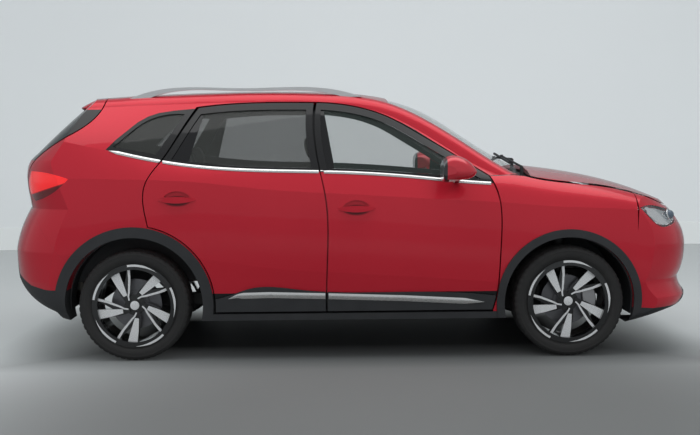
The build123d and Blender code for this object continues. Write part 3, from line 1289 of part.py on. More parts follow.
def steering_wheel():
    """The steering wheel: rim, boss and three spokes, on the end of its column."""
    centre, way = steering_axis()
    plane = Plane(centre, x_dir=(0, 1, 0), z_dir=way)
    hoop = Solid.make_torus(STEERING_RADIUS, HOOP_RADIUS, plane)
    boss = Solid.make_cylinder(66, 40, Plane(centre, z_dir=way))
    neck = Solid.make_cylinder(30, NECK_LENGTH - REST_GAP, Plane(centre, z_dir=way))
    spokes = []
    for turn in STEERING_SPOKES:
        angle = math.radians(turn)
        tip = plane.from_local_coords(Vector(STEERING_RADIUS * math.cos(angle), STEERING_RADIUS * math.sin(angle), 6))
        spokes.append(rod(tuple(centre + way * 16), tuple(tip), 11))
    return biggest(fused(hoop, boss, neck, *spokes))


def half_pairs():
    """The nodes that come in a left and a right, by their name without the side."""
    front_face, rear_face = front_door_face(), rear_door_face()
    return {
        "front_{}_door_panel": door_panel(front_face, DOOR_FRONT, FRONT_HANDLE),
        "front_{}_door_window": pane(window_face(front_face)),
        "front_{}_door_cladding": low_cladding(front_face, DOOR_FRONT),
        "front_{}_door_handle": door_handle(FRONT_HANDLE),
        "front_{}_mirror": door_mirror(),
        "rear_{}_door_panel": door_panel(rear_face, DOOR_SPLIT, REAR_HANDLE),
        "rear_{}_door_window": pane(window_face(rear_face)),
        "rear_{}_door_cladding": low_cladding(rear_face, DOOR_SPLIT),
        "rear_{}_door_handle": door_handle(REAR_HANDLE),
        "front_{}_tyre": tyre(FRONT_AXLE_X),
        "rear_{}_tyre": tyre(REAR_AXLE_X),
        "front_{}_rim": rim(FRONT_AXLE_X),
        "rear_{}_rim": rim(REAR_AXLE_X),
        "front_{}_brake_disc": brake_disc(FRONT_AXLE_X),
        "rear_{}_brake_disc": brake_disc(REAR_AXLE_X),
        "front_{}_knuckle": knuckle(),
    }


def single_nodes():
    """The nodes that the car has once, those alike on both sides joined in one node."""
    return {
        "body_sides": both(body_side()),
        "roof_panel": roof_panel(),
        "floor_pan": floor_pan(),
        "front_fenders": both(fender()),
        "front_bumper": front_bumper(),
        "rear_bumper": rear_bumper(),
        "bumper_skirts": Compound(children=[front_lip(), rear_skirt()]),
        "arch_cladding": both(arch_cladding()),
        "arch_liners": both(liners()),
        "grille": grille(),
        "headlamps": both(headlamp()),
        "tail_lamps": both(tail_lamp()),
        "windscreen": windscreen(),
        "quarter_windows": both(pane(quarter_face())),
        "roof_rails": both(roof_rail()),
        "cowl": cowl(),
        "wipers": Compound(children=[wiper(foot) for foot in WIPER_FOOT]),
        "tailgate_panel": tailgate(),
        "tailgate_window": rear_window(),
        "hood_panel": hood(),
        "front_subframe": front_subframe(),
        "rear_axle": rear_axle(),
        "engine_block": engine_block(),
        "exhaust": exhaust(),
        "dashboard": dashboard(),
        "steering_wheel": steering_wheel(),
        "front_seats": both(front_seat()),
        "rear_seat": rear_seat(),
    }


def main():
    os.makedirs("parts", exist_ok=True)
    for name, shape in single_nodes().items():
        export_step(shape, f"parts/{name}.step")
    for name, left in half_pairs().items():
        export_step(left, f"parts/{name.format('left')}.step")
        export_step(mirrored(left), f"parts/{name.format('right')}.step")


if __name__ == "__main__":
    main()
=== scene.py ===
"""Looks of the compact crossover: finishes, trim, tyres, lamps, seats, tailpipe and the studio round it."""

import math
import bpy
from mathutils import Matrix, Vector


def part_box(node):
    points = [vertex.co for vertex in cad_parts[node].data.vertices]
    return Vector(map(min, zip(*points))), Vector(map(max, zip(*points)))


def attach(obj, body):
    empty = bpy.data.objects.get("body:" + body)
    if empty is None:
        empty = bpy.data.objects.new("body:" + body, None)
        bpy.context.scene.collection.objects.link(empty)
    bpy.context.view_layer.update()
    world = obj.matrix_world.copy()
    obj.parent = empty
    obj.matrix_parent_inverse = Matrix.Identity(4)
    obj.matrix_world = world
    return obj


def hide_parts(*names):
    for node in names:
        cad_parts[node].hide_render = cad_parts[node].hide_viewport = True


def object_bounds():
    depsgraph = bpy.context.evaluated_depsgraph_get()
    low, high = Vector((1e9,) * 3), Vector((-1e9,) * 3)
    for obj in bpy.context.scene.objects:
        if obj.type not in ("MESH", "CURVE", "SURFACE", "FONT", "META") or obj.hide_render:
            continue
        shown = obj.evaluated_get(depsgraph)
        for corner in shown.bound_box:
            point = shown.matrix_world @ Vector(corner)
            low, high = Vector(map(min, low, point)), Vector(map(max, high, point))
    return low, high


bl_info = {
    "name": "Compact crossover",
    "version": (1, 0, 0),
    "blender": (4, 5, 0),
    "location": "3D View > Sidebar > Crossover",
    "description": "Builds the crossover's looks on its packed model: trim, seats, tyres and studio",
    "category": "Object",
}

import bpy
import numpy
from mathutils import Matrix, Vector

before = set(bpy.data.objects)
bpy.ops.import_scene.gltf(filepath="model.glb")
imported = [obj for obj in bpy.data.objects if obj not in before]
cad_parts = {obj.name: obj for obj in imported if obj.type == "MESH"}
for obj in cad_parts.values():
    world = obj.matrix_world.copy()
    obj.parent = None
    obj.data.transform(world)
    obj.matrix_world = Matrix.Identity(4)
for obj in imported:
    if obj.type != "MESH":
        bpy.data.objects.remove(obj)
CAD_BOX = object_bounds()
SIDES = ("right", "left")
CORNERS = (("front", "right"), ("front", "left"), ("rear", "right"), ("rear", "left"))


def pair(pattern):
    """The names that a pattern gives on the car's two sides."""
    return tuple(pattern.format(side) for side in SIDES)


def four(pattern):
    """The names that a pattern gives at the car's four corners."""
    return tuple(pattern.format(end, side) for end, side in CORNERS)


def wheel_axis(node):
    """Where a wheel's axis lies along X and Z."""
    low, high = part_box(node)
    return (low.x + high.x) / 2, (low.z + high.z) / 2


FRONT_AXLE = wheel_axis("front_left_tyre")[0]
REAR_AXLE, HUB_HEIGHT = wheel_axis("rear_left_tyre")


# ---- sizes and colours that a user would change ---------------------------------------------------------
def length(label, text, default):
    return bpy.props.FloatProperty(name=label, description=text, default=default, unit="LENGTH")


def colour(label, text, default):
    return bpy.props.FloatVectorProperty(name=label, description=text, default=default,
                                         subtype="COLOR", size=3, min=0.0, max=1.0)


class PaintSettings(bpy.types.PropertyGroup):
    body: colour("Body", "Colour of the metallic body paint", (0.60, 0.011, 0.030))
    cladding: colour("Cladding", "Colour of the grained plastic cladding", (0.020, 0.021, 0.023))


class StudioSettings(bpy.types.PropertyGroup):
    floor: colour("Floor", "Colour of the studio floor", (0.52, 0.545, 0.55))
    wall: colour("Wall", "Colour of the studio wall", (0.68, 0.71, 0.72))
    wall_gap: length("Wall distance", "How far the wall stands behind the car", 4.4)
    skirting: colour("Skirting", "Colour of the skirting board", (0.70, 0.73, 0.72))


# ---- materials ------------------------------------------------------------------------------------------
class Value:
    """A socket's number, on which an expression adds Math nodes."""

    def __init__(self, finish, socket):
        self.finish, self.socket = finish, socket

    def maths(self, operation, *others):
        return self.finish.node("ShaderNodeMath", {"operation": operation}, *(others or (self,)))

    def __add__(self, other):
        return self.maths("ADD", self, other)

    def __radd__(self, other):
        return self.maths("ADD", other, self)

    def __sub__(self, other):
        return self.maths("SUBTRACT", self, other)

    def __rsub__(self, other):
        return self.maths("SUBTRACT", other, self)

    def __mul__(self, other):
        return self.maths("MULTIPLY", self, other)

    def __rmul__(self, other):
        return self.maths("MULTIPLY", other, self)

    def __truediv__(self, other):
        return self.maths("DIVIDE", self, other)

    def __pow__(self, other):
        return self.maths("POWER", self, other)

    def __abs__(self):
        return self.maths("ABSOLUTE", self)

    def least(self, other):
        return self.maths("MINIMUM", self, other)

    def most(self, other):
        return self.maths("MAXIMUM", self, other)

    def over(self, limit, soft=0.0008):
        """1 where the value is over the limit, with a soft edge."""
        return self.finish.node("ShaderNodeMath", {"operation": "MULTIPLY_ADD", "use_clamp": True},
                                self - limit, 1.0 / soft, 0.5)


class Finish:
    """A material with a Principled BSDF, its nodes added by one method."""

    def __init__(self, name, **sockets):
        self.material = bpy.data.materials.new(name)
        self.material.use_nodes = True
        self.tree = self.material.node_tree
        self.shader = self.tree.nodes["Principled BSDF"]
        for socket, value in sockets.items():
            self.put(socket.replace("_", " "), value)

    def put(self, socket, value):
        """Sets or links one of the shader's sockets."""
        self.feed(self.shader.inputs[socket], value)

    def feed(self, target, value):
        """Links a value to a socket or sets it, a colour with an alpha of 1."""
        if isinstance(value, Value):
            self.tree.links.new(value.socket, target)
        elif target.type == "RGBA" and len(value) == 3:
            target.default_value = tuple(value) + (1.0,)
        else:
            target.default_value = value

    def node(self, kind, settings, *values, out=0, **named):
        """Adds a node with its settings, then the values or links of its sockets, and gives one output."""
        added = self.tree.nodes.new(kind)
        for name, value in settings.items():
            if name == "stops":
                ramp = added.color_ramp
                while len(ramp.elements) < len(value):
                    ramp.elements.new(1.0)
                for element, (place, shade) in zip(ramp.elements, value):
                    element.position, element.color = place, tuple(shade) + (1.0,)
            else:
                setattr(added, name, value)
        sockets = list(enumerate(values)) + [(key.replace("_", " "), value) for key, value in named.items()]
        for key, value in sockets:
            self.feed(added.inputs[key], value)
        return Value(self, added.outputs[out])

    def point(self):
        """The point on the piece."""
        return self.node("ShaderNodeTexCoord", {}, out="Object")

    def normal(self):
        """The way that the surface faces."""
        return self.node("ShaderNodeNewGeometry", {}, out="True Normal")

    def part(self, vector, axis):
        """One coordinate of a vector."""
        return self.node("ShaderNodeSeparateXYZ", {}, vector, out=axis)

    def parts(self, vector, axes="XYZ"):
        """Some of a vector's coordinates, in order."""
        return tuple(self.part(vector, axis) for axis in axes)

    def blend(self, share, first, second):
        """Two colours mixed by a share of the second."""
        mix = self.tree.nodes.new("ShaderNodeMix")
        mix.data_type = "RGBA"
        for key, value in ((0, share), (6, first), (7, second)):
            self.feed(mix.inputs[key], value)
        return Value(self, mix.outputs[2])

    def noise(self, point, scale, detail=2.0, out="Fac"):
        return self.node("ShaderNodeTexNoise", {}, out=out, Vector=point, Scale=scale, Detail=detail)

    def bump(self, height, strength, distance):
        self.put("Normal", self.node("ShaderNodeBump", {}, out="Normal", Height=height, Strength=strength,
                                     Distance=distance))


# ---- finishes -------------------------------------------------------------------------------------------
# the window line's points as (x, height), and the factors of the curve through them, lowest power first
BELT = ((-1.450, 1.250), (-1.137, 1.181), (-0.907, 1.150), (-0.612, 1.126), (-0.197, 1.114), (0.279, 1.087),
        (0.547, 1.060), (0.836, 1.037))
BELT_DEGREE = 5
BELT_CURVE = tuple(round(float(factor), 5) for factor in numpy.polyfit(*zip(*BELT), BELT_DEGREE)[::-1])
# the top of the black window surround, as (x, height)
WINDOW_TOP = ((-1.470, 1.243), (-1.404, 1.312), (-1.283, 1.415), (-1.223, 1.450), (-1.163, 1.470),
              (-1.073, 1.484), (-0.958, 1.494), (-0.531, 1.516), (-0.260, 1.519), (-0.079, 1.510),
              (0.071, 1.493), (0.192, 1.452), (0.297, 1.404), (0.417, 1.338), (0.553, 1.248), (0.800, 1.090))
# a black border's edge on a window: its x at a height, and how far it leans
REAR_DIVIDER = (-0.970, 1.186, 0.285)
FRONT_DIVIDER = (-0.109, 1.120, -0.177)
MIRROR_CORNER = 0.610
# the hollows behind the door handles, darkened with painted shade: the middle of each as (x, height), and
# their half sizes
HANDLE_CUPS = ((-1.035, 0.950), (0.017, 0.889))
CUP_HALF = (0.080, 0.033)
# heights: the black feet of the sills, the tailgate's black sides, and where the roof's lining starts
SILL_BLACK = 0.400
GATE_BLACK = (1.192, 1.494)
ROOF_LINING = 1.40
# the tail lamp's colour change: its height at an x, and how steeply it climbs
TAIL_SPLIT = (-1.93, 0.990, 0.294)
# the door mirror's cap and band, each from an x and a height, and its glass, up to an x
MIRROR_CAP = (0.530, 1.070)
MIRROR_BAND = (0.540, 1.056)
MIRROR_GLASS = 0.60
# the wheels: dust lies up to this far out, and calipers from this far out, at these radii about the axle
DUST_OUT = 0.80
CALIPER_OUT = 0.70
CALIPER_RING = (0.092, 0.175)
MACHINING_MARKS, DISC_MARKS = 5200.0, 2400.0
CLOTH_THREADS = 320.0
GLOSS_BLACK = (0.006, 0.006, 0.007)
# the colour of the painted shade in the hollows behind the door handles
PAINTED_CUP_SHADOW = (0.040, 0.001, 0.003)
LINING_GREY = (0.030, 0.030, 0.032)
HEADLINER = (0.42, 0.42, 0.40)
CLEAR_TINT = (0.10, 0.13, 0.12)
DARK_TINT = (0.060, 0.064, 0.060)
BRUSHED = (0.05, 1.0, 1.0)


def scaled(base, factor, lift=0.0):
    """A colour made lighter or darker."""
    return tuple(c * factor + lift for c in base)


def from_axle(x, z):
    """The distance from the axis of the nearer wheel, seen from the side."""
    dx = x - (x.over(0.0) * (FRONT_AXLE - REAR_AXLE) + REAR_AXLE)
    dz = z - HUB_HEIGHT
    return (dx * dx + dz * dz) ** 0.5


def belt_height(x):
    """The window line's height over the ground, as an expression on x."""
    height = BELT_CURVE[-1]
    for factor in reversed(BELT_CURVE[:-1]):
        height = height * x + factor
    return height


def flakes(finish, point, base, spread):
    """Metallic paint's colour: fine flakes and a slow change over the panel."""
    grain = finish.noise(point, 900.0, 1.0)
    slow = finish.noise(point, 1.3, 2.0)
    lighter = tuple(min(1.0, c * (1 + spread) + 0.01) for c in base)
    return finish.blend(grain * 0.55 + slow * 0.45, scaled(base, 1 - spread), lighter)


def paint_finish(name, base, black=None, lining=LINING_GREY, cups=()):
    """Metallic paint under clear coat, black where asked, painted shade in the hollows behind the door
    handles, and a fleecy lining on faces turned inwards.
    """
    finish = Finish(name, Coat_Roughness=0.03, Coat_IOR=1.32, Specular_IOR_Level=0.25)
    point = finish.point()
    x, y, z = finish.parts(point)
    ny, nz = finish.parts(finish.normal(), "YZ")
    inward = (0 - ny * y / abs(y).most(0.05)).most(0 - nz * z.over(ROOF_LINING)).over(0.25, 0.05)
    covered = black(x, z) if black else 0.0
    skin = flakes(finish, point, base, 0.16)
    # painted shade: each hollow behind a door handle darkens towards its middle
    for cup_x, cup_z in cups:
        across = (x - cup_x) * (1 / CUP_HALF[0])
        up = (z - cup_z) * (1 / CUP_HALF[1])
        deep = (1.0 - across ** 2 - up ** 2).over(0.2, 0.5)
        skin = finish.blend(deep * 0.85, skin, PAINTED_CUP_SHADOW)
    outside = finish.blend(covered, skin, GLOSS_BLACK)
    fleece = finish.noise(point, 700.0, 3.0)
    inside = finish.blend(fleece, lining, scaled(lining, 1.5))
    finish.put("Base Color", finish.blend(inward, outside, inside))
    finish.put("Metallic", (1 - inward) * (1 - covered) * 0.35)
    finish.put("Roughness", 0.30 + finish.noise(point, 420.0) * 0.10 + inward * 0.4)
    finish.put("Coat Weight", 1 - inward)
    return finish.material


def below_cladding(z):
    """The sills' and doors' feet, in black behind the cladding."""
    return (SILL_BLACK - z).over(0.0)


def above_belt(x, z):
    """The window frames, and the feet behind the cladding."""
    return (z - belt_height(x)).over(0.0).most(below_cladding(z))


def under_lines(x, points):
    """The height of an arched line, as the least of its straight runs."""
    height = None
    for (x0, z0), (x1, z1) in zip(points, points[1:]):
        slope = (z1 - z0) / (x1 - x0)
        run = x * slope + (z0 - slope * x0)
        height = run if height is None else height.least(run)
    return height


def window_surround(x, z):
    """The black pillars between the side windows and the surround of the rearmost one."""
    return (above_belt(x, z) * (under_lines(x, WINDOW_TOP) - z).over(0.0)).most(below_cladding(z))


def gate_surround(x, z):
    """The black sides of the rear window, below the spoiler."""
    foot, head = GATE_BLACK
    return (head - z).over(0.0) * (z - foot).over(0.0)


def plastic_finish(name, base, scale=1400.0, strength=0.35, roughness=0.55):
    """Moulded plastic with a fine leather grain."""
    finish = Finish(name)
    point = finish.point()
    cells = finish.node("ShaderNodeTexVoronoi", {"feature": "DISTANCE_TO_EDGE"}, Vector=point,
                        Scale=scale / 4)
    wear = finish.noise(point, 9.0, 4.0)
    finish.put("Base Color", finish.blend(wear, base, scaled(base, 1.7, 0.004)))
    finish.put("Roughness", roughness + wear * 0.14)
    finish.bump(cells, strength, 0.0006)
    return finish.material


def gloss_finish(name, base, roughness=0.12):
    finish = Finish(name, Coat_Weight=0.6, Coat_Roughness=0.04, Coat_IOR=1.35, Specular_IOR_Level=0.3)
    haze = finish.noise(finish.point(), 14.0, 3.0)
    finish.put("Base Color", finish.blend(haze, base, scaled(base, 1.4, 0.002)))
    finish.put("Roughness", roughness + haze * 0.08)
    return finish.material


def metal_finish(name, base, roughness, grain=260.0, depth=0.12):
    """Metal with faint run marks."""
    finish = Finish(name, Metallic=1.0)
    run = finish.node("ShaderNodeMapping", {}, Vector=finish.point(), Scale=BRUSHED)
    marks = finish.noise(run, grain, 3.0)
    finish.put("Base Color", finish.blend(marks, base, scaled(base, 0.82)))
    finish.put("Roughness", roughness + marks * depth)
    return finish.material


def glass_finish(name, base, alpha, divider=None, corner=None):
    """Glass with a faint film, printed black behind a leaning divider line and ahead of a corner's x."""
    finish = Finish(name, Coat_Weight=0.3, Coat_Roughness=0.0, Coat_IOR=1.4, Specular_IOR_Level=0.35)
    point = finish.point()
    x, z = finish.parts(point, "XZ")
    film = finish.noise(point, 3.0, 2.0)
    printed = 0.0
    if divider:
        place, height, lean = divider
        printed = (place + (z - height) * lean - x).over(0.0)
    if corner:
        printed = x.over(corner).most(printed)
    tint = finish.blend(film, base, scaled(base, 1.3))
    finish.put("Base Color", finish.blend(printed, tint, GLOSS_BLACK))
    finish.put("Roughness", 0.02 + film * 0.02)
    finish.put("Alpha", (alpha + film * 0.04).most(printed))
    return finish.material


def rim_finish():
    """Gloss black casting with brake dust towards the barrel."""
    finish = Finish("rim_black", Coat_Weight=0.8, Coat_Roughness=0.05)
    point = finish.point()
    dust = finish.noise(point, 60.0, 4.0) * (DUST_OUT - abs(finish.part(point, "Y"))).over(0.0, 0.06)
    finish.put("Base Color", finish.blend(dust, GLOSS_BLACK, (0.05, 0.045, 0.04)))
    finish.put("Roughness", 0.16 + dust * 0.5)
    return finish.material


def machined_finish():
    """Bright machined alloy with fine turning marks under lacquer."""
    finish = Finish("machined_alloy", Metallic=0.35, Coat_Weight=0.5, Coat_Roughness=0.08)
    x, z = finish.parts(finish.point(), "XZ")
    rings = (from_axle(x, z) * MACHINING_MARKS).maths("SINE")
    finish.put("Base Color", finish.blend(rings * 0.5 + 0.5, (0.80, 0.81, 0.82), (0.90, 0.91, 0.92)))
    finish.put("Roughness", 0.30 + rings * 0.04)
    return finish.material


def lamp_finish():
    """Tail lamp lens: bright red above, deep red below, with fine upright ribs behind the surface."""
    finish = Finish("tail_lens", Coat_Weight=1.0, Coat_Roughness=0.02, Coat_IOR=1.35, Roughness=0.18)
    point = finish.point()
    x, z = finish.parts(point, "XZ")
    split_x, height, slope = TAIL_SPLIT
    low = (height + (x - split_x) * slope - z).over(0.0, 0.010)
    ribs = finish.node("ShaderNodeTexWave", {"wave_type": "BANDS", "bands_direction": "X"}, Vector=point,
                       Scale=55.0)
    shade = finish.blend(low, (0.85, 0.010, 0.012), (0.12, 0.003, 0.006))
    finish.put("Base Color", finish.blend(ribs * 0.30, shade, (0.25, 0.002, 0.004)))
    finish.put("Emission Color", finish.blend(low, (0.75, 0.012, 0.014), (0.0, 0.0, 0.0)))
    finish.put("Emission Strength", 0.6)
    finish.bump(ribs, 0.3, 0.0008)
    return finish.material


def mirror_finish(base):
    """Door mirror: painted cap, black base and a pale indicator band between them."""
    finish = Finish("mirror_shell", Coat_Weight=1.0, Coat_Roughness=0.03, Roughness=0.32)
    x, z = finish.parts(finish.point(), "XZ")
    (cap_x, cap_z), (band_x, band_z) = MIRROR_CAP, MIRROR_BAND
    cap = z.over(cap_z) * x.over(cap_x)
    band = z.over(band_z) * (1 - z.over(cap_z)) * x.over(band_x)
    glass = (0 - finish.part(finish.normal(), "X")).over(0.7, 0.05) * (MIRROR_GLASS - x).over(0.0)
    shell = finish.blend(band, finish.blend(cap, GLOSS_BLACK, base), (0.78, 0.78, 0.76))
    finish.put("Base Color", finish.blend(glass, shell, (0.55, 0.57, 0.60)))
    finish.put("Metallic", (cap * 0.35).most(glass))
    return finish.material


def tyre_finish():
    finish = Finish("tyre_rubber")
    point = finish.point()
    dust = finish.noise(point, 22.0, 5.0)
    finish.put("Base Color", finish.blend(dust, (0.012, 0.012, 0.013), (0.030, 0.029, 0.028)))
    finish.put("Roughness", 0.62 + dust * 0.2)
    finish.bump(finish.noise(point, 900.0, 2.0), 0.25, 0.0004)
    return finish.material


def disc_finish():
    """Turned cast iron: rings about each wheel's axis."""
    finish = Finish("disc_iron", Metallic=0.9)
    x, z = finish.parts(finish.point(), "XZ")
    rings = (from_axle(x, z) * DISC_MARKS).maths("SINE")
    finish.put("Base Color", finish.blend(rings * 0.5 + 0.5, (0.14, 0.14, 0.15), (0.22, 0.22, 0.23)))
    finish.put("Roughness", 0.34 + rings * 0.05)
    return finish.material


def chassis_finish(name, base):
    """Black painted castings with silver brake calipers out at the wheels."""
    finish = Finish(name, Roughness=0.45)
    point = finish.point()
    x, y, z = finish.parts(point)
    radius = from_axle(x, z)
    inner, outer = CALIPER_RING
    out = radius.over(inner) * (outer - radius).over(0.0) * abs(y).over(CALIPER_OUT)
    grain = finish.noise(point, 160.0, 3.0)
    finish.put("Base Color", finish.blend(out, base, (0.46, 0.46, 0.47)))
    finish.put("Metallic", out * 0.7)
    finish.bump(grain, 0.3, 0.0008)
    return finish.material


def fabric_finish(name, base):
    """Woven seat cloth: two crossing sets of threads."""
    finish = Finish(name, Roughness=0.85, Sheen_Weight=0.3)
    point = finish.point()
    warp, weft = (finish.node("ShaderNodeTexWave", {"bands_direction": way}, Vector=point,
                              Scale=CLOTH_THREADS) for way in ("Y", "DIAGONAL"))
    weave = warp * weft
    finish.put("Base Color", finish.blend(weave, base, scaled(base, 2.2, 0.01)))
    finish.bump(weave, 0.5, 0.0006)
    return finish.material


# ---- modelling ------------------------------------------------------------------------------------------


def deselect():
    bpy.ops.object.select_all(action="DESELECT")


def choose(*objects):
    deselect()
    for chosen in objects:
        chosen.select_set(True)
    bpy.context.view_layer.objects.active = objects[-1]


def named(name, material=None):
    """The active object under a new name and with its material."""
    made = bpy.context.active_object
    made.name = made.data.name = name
    if material:
        made.data.materials.clear()
        made.data.materials.append(material)
    return made


def modified(piece, kind, **settings):
    """Applies one modifier to a piece."""
    choose(piece)
    modifier = piece.modifiers.new(kind.lower(), kind)
    for name, value in settings.items():
        setattr(modifier, name, value)
    bpy.ops.object.modifier_apply(modifier=modifier.name)
    return piece


def smooth(piece, degrees=35):
    choose(piece)
    bpy.ops.object.shade_smooth_by_angle(angle=math.radians(degrees))
    return piece


def tidied(piece, distance=1e-5):
    """Closes the seams of a piece and turns its faces outwards."""
    choose(piece)
    bpy.ops.object.mode_set(mode="EDIT")
    bpy.ops.mesh.select_all(action="SELECT")
    bpy.ops.mesh.remove_doubles(threshold=distance)
    bpy.ops.mesh.normals_make_consistent(inside=False)
    bpy.ops.object.mode_set(mode="OBJECT")
    return piece


def sheet(name, along, over, shape, material=None):
    """A grid of along by over faces, each corner placed by shape(u, v) with u and v from 0 to 1."""
    deselect()
    bpy.ops.mesh.primitive_grid_add(x_subdivisions=along, y_subdivisions=over, size=1)
    piece = named(name, material)
    for vertex in piece.data.vertices:
        vertex.co = shape(vertex.co.x + 0.5, vertex.co.y + 0.5)
    return piece


def mirror_copy(piece, name):
    """A copy of a piece on the car's other side, with its own mesh."""
    choose(piece)
    bpy.ops.object.duplicate()
    bpy.ops.transform.mirror(constraint_axis=(False, True, False), orient_type="GLOBAL",
                             center_override=(0, 0, 0))
    bpy.ops.object.transform_apply(location=False, rotation=False, scale=True)
    return tidied(named(name))


def between(line, x):
    """The height of a run of (x, z) points at x."""
    for (x0, z0), (x1, z1) in zip(line, line[1:]):
        if x <= x1:
            return z0 + (z1 - z0) * (x - x0) / (x1 - x0)
    return line[-1][1]


def merged_copy(names, label, material=None):
    """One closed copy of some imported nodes."""
    copies = []
    for name in names:
        choose(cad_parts[name])
        bpy.ops.object.duplicate()
        copies.append(bpy.context.active_object)
    choose(*copies)
    if len(copies) > 1:
        bpy.ops.object.join()
    return tidied(named(label, material), 1e-6)


def laid(piece, form):
    """Moves a flat strip sideways on to the right flank of a form."""
    return modified(piece, "SHRINKWRAP", target=form, wrap_method="PROJECT", use_project_y=True,
                    use_project_x=False, use_project_z=False, use_negative_direction=False,
                    use_positive_direction=True)


STRIP_COLUMNS, STRIP_ROWS = 48, 4
STRIP_THICKNESS = 0.004
# the share of its thickness by which a strip stands off the flank, and the side place that it is laid from
STRIP_LIFT = 0.3
OUTSIDE_Y = -1.3


def strip(name, form, ends, low, high, material, bulge, lean=0.0, points=(0.0, 0.0)):
    """A trim strip on the right flank between two lines, its ends leaning or drawn to points."""
    start, end = ends

    def shape(u, v):
        x = start + (end - start) * u
        floor, top = low(x), high(x)
        share = 1.0
        for length, reach in zip(points, (x - start, end - x)):
            if length:
                share = min(share, reach / length)
        z = floor + (top - floor) * (v - 0.5) * share + (top - floor) / 2
        return Vector((x + lean * (z - (floor + top) / 2), OUTSIDE_Y, z))

    piece = sheet(name, STRIP_COLUMNS, STRIP_ROWS, shape, material)
    heights = [(vertex.index, vertex.co.z - low(vertex.co.x)) for vertex in piece.data.vertices]
    laid(piece, form)
    for index, height in heights:
        vertex = piece.data.vertices[index]
        share = height / (high(vertex.co.x) - low(vertex.co.x))
        swell = bulge * math.sin(math.pi * min(1.0, max(0.0, share)))
        vertex.co.y -= STRIP_THICKNESS * STRIP_LIFT + swell
    modified(piece, "SOLIDIFY", thickness=STRIP_THICKNESS, offset=0.0)
    return smooth(tidied(piece))


# ---- trim strips ----------------------------------------------------------------------------------------
# the sill strips' top edge, as (x, height)
SILL_STRIP_TOP = ((-0.747, 0.386), (-0.690, 0.404), (-0.500, 0.408), (-0.163, 0.398), (0.300, 0.381),
                  (0.777, 0.354))
SILL_STRIP_HEIGHT = 0.034
BELT_STRIP_HEIGHT = 0.016
# name, body, the x that each runs from and to, and what sets its ends apart
BELT_STRIPS = (
    ("quarter_belt_strip", "body", (-1.441, -1.134), {"lean": 0.55, "points": (0.05, 0.0)}),
    ("rear_door_belt_strip", "rear_{}_door", (-1.122, -0.204), {}),
    ("front_door_belt_strip", "front_{}_door", (-0.193, 0.818), {}),
)
SILL_STRIPS = (
    ("rear_door_sill_strip", "rear_{}_door", (-0.747, -0.171), {"points": (0.09, 0.0)}),
    ("front_door_sill_strip", "front_{}_door", (-0.152, 0.777), {"points": (0.0, 0.12)}),
)
BELT_BULGE, SILL_BULGE = 0.003, 0.005


def belt_low(x):
    return sum(factor * x ** power for power, factor in enumerate(BELT_CURVE)) - BELT_STRIP_HEIGHT / 2


def belt_high(x):
    return belt_low(x) + BELT_STRIP_HEIGHT


def sill_high(x):
    return between(SILL_STRIP_TOP, x)


def sill_low(x):
    return sill_high(x) - SILL_STRIP_HEIGHT


class CROSSOVER_OT_trim(bpy.types.Operator):
    """Lays the bright strips along the window line and the door bottoms"""
    bl_idname = "crossover.trim"
    bl_label = "Lay the bright strips"

    def execute(self, context):
        chrome = metal_finish("satin_chrome", (0.86, 0.86, 0.85), 0.20)
        flank = merged_copy(("body_sides", "front_right_door_panel", "rear_right_door_panel",
                             "front_right_door_window", "rear_right_door_window", "quarter_windows"),
                            "flank_form")
        skirt = merged_copy(("front_right_door_cladding", "rear_right_door_cladding", "arch_cladding"),
                            "skirt_form")
        for strips, form, low, high, bulge in ((BELT_STRIPS, flank, belt_low, belt_high, BELT_BULGE),
                                               (SILL_STRIPS, skirt, sill_low, sill_high, SILL_BULGE)):
            for name, body, ends, ending in strips:
                right = strip(f"right_{name}", form, ends, low, high, chrome, bulge, **ending)
                for piece, side in zip((right, mirror_copy(right, f"left_{name}")), SIDES):
                    smooth(piece)
                    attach(piece, body.format(side))
        for form in (flank, skirt):
            bpy.data.objects.remove(form)
        return {"FINISHED"}


# ---- wheels ---------------------------------------------------------------------------------------------
TREAD_GROOVES = (-0.062, -0.024, 0.024, 0.062)
TYRE_STEPS = 216
TYRE_HALF = 0.1065
BEAD_OUT, BEAD_RADIUS, BARREL_RADIUS = 0.0913, 0.2486, 0.2335
TREAD_RADIUS = 0.3290
# the cuts across the tread: how many steps apart they are and how deep, on the shoulders and between them
SHOULDER_OUT = 0.070
SHOULDER_CUTS, MIDDLE_CUTS = (4, 0.0045), (6, 0.0030)


def wheel_frame(end, side):
    """The wheel's centre and the way its outer face looks along Y."""
    low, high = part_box(f"{end}_{side}_tyre")
    return (low + high) / 2, -1 if side == "right" else 1


def ring_point(centre, way, out, radius, angle):
    """A point about a wheel's axis, out along it and at an angle seen from the car's right."""
    ahead, up = radius * math.cos(angle), radius * math.sin(angle)
    return Vector((centre.x + ahead, centre.y + way * out, centre.z + up))


def tyre_profile():
    """The tyre's section from inner to outer bead, as (distance outboard, radius, 1 where it is tread)."""
    half, bead, rim, top = TYRE_HALF, BEAD_OUT, BEAD_RADIUS, TREAD_RADIUS
    wall = [(bead, rim - 0.002, 0), (bead + 0.0025, rim + 0.006, 0), (half - 0.009, rim + 0.012, 0),
            (half - 0.005, rim + 0.018, 0), (half - 0.004, rim + 0.021, 0), (half - 0.0012, rim + 0.030, 0),
            (half, rim + 0.042, 0), (half - 0.0015, rim + 0.052, 0), (half - 0.0005, rim + 0.055, 0),
            (half - 0.0042, rim + 0.064, 1), (half - 0.0095, top - 0.0075, 1),
            (half - 0.017, top - 0.0036, 1), (half - 0.028, top - 0.0016, 1)]
    crown = []
    for groove in reversed(TREAD_GROOVES):
        for offset, drop in ((0.0048, 0.0), (0.0034, 0.007), (-0.0034, 0.007), (-0.0048, 0.0)):
            out = groove + offset
            crown.append((out, top - 0.0016 * (out / 0.0785) ** 2 - drop, 1 if drop == 0.0 else 0))
    outer = wall + [row for row in crown if row[0] > 0]
    return [(-out, radius, tread) for out, radius, tread in outer] + list(reversed(outer))


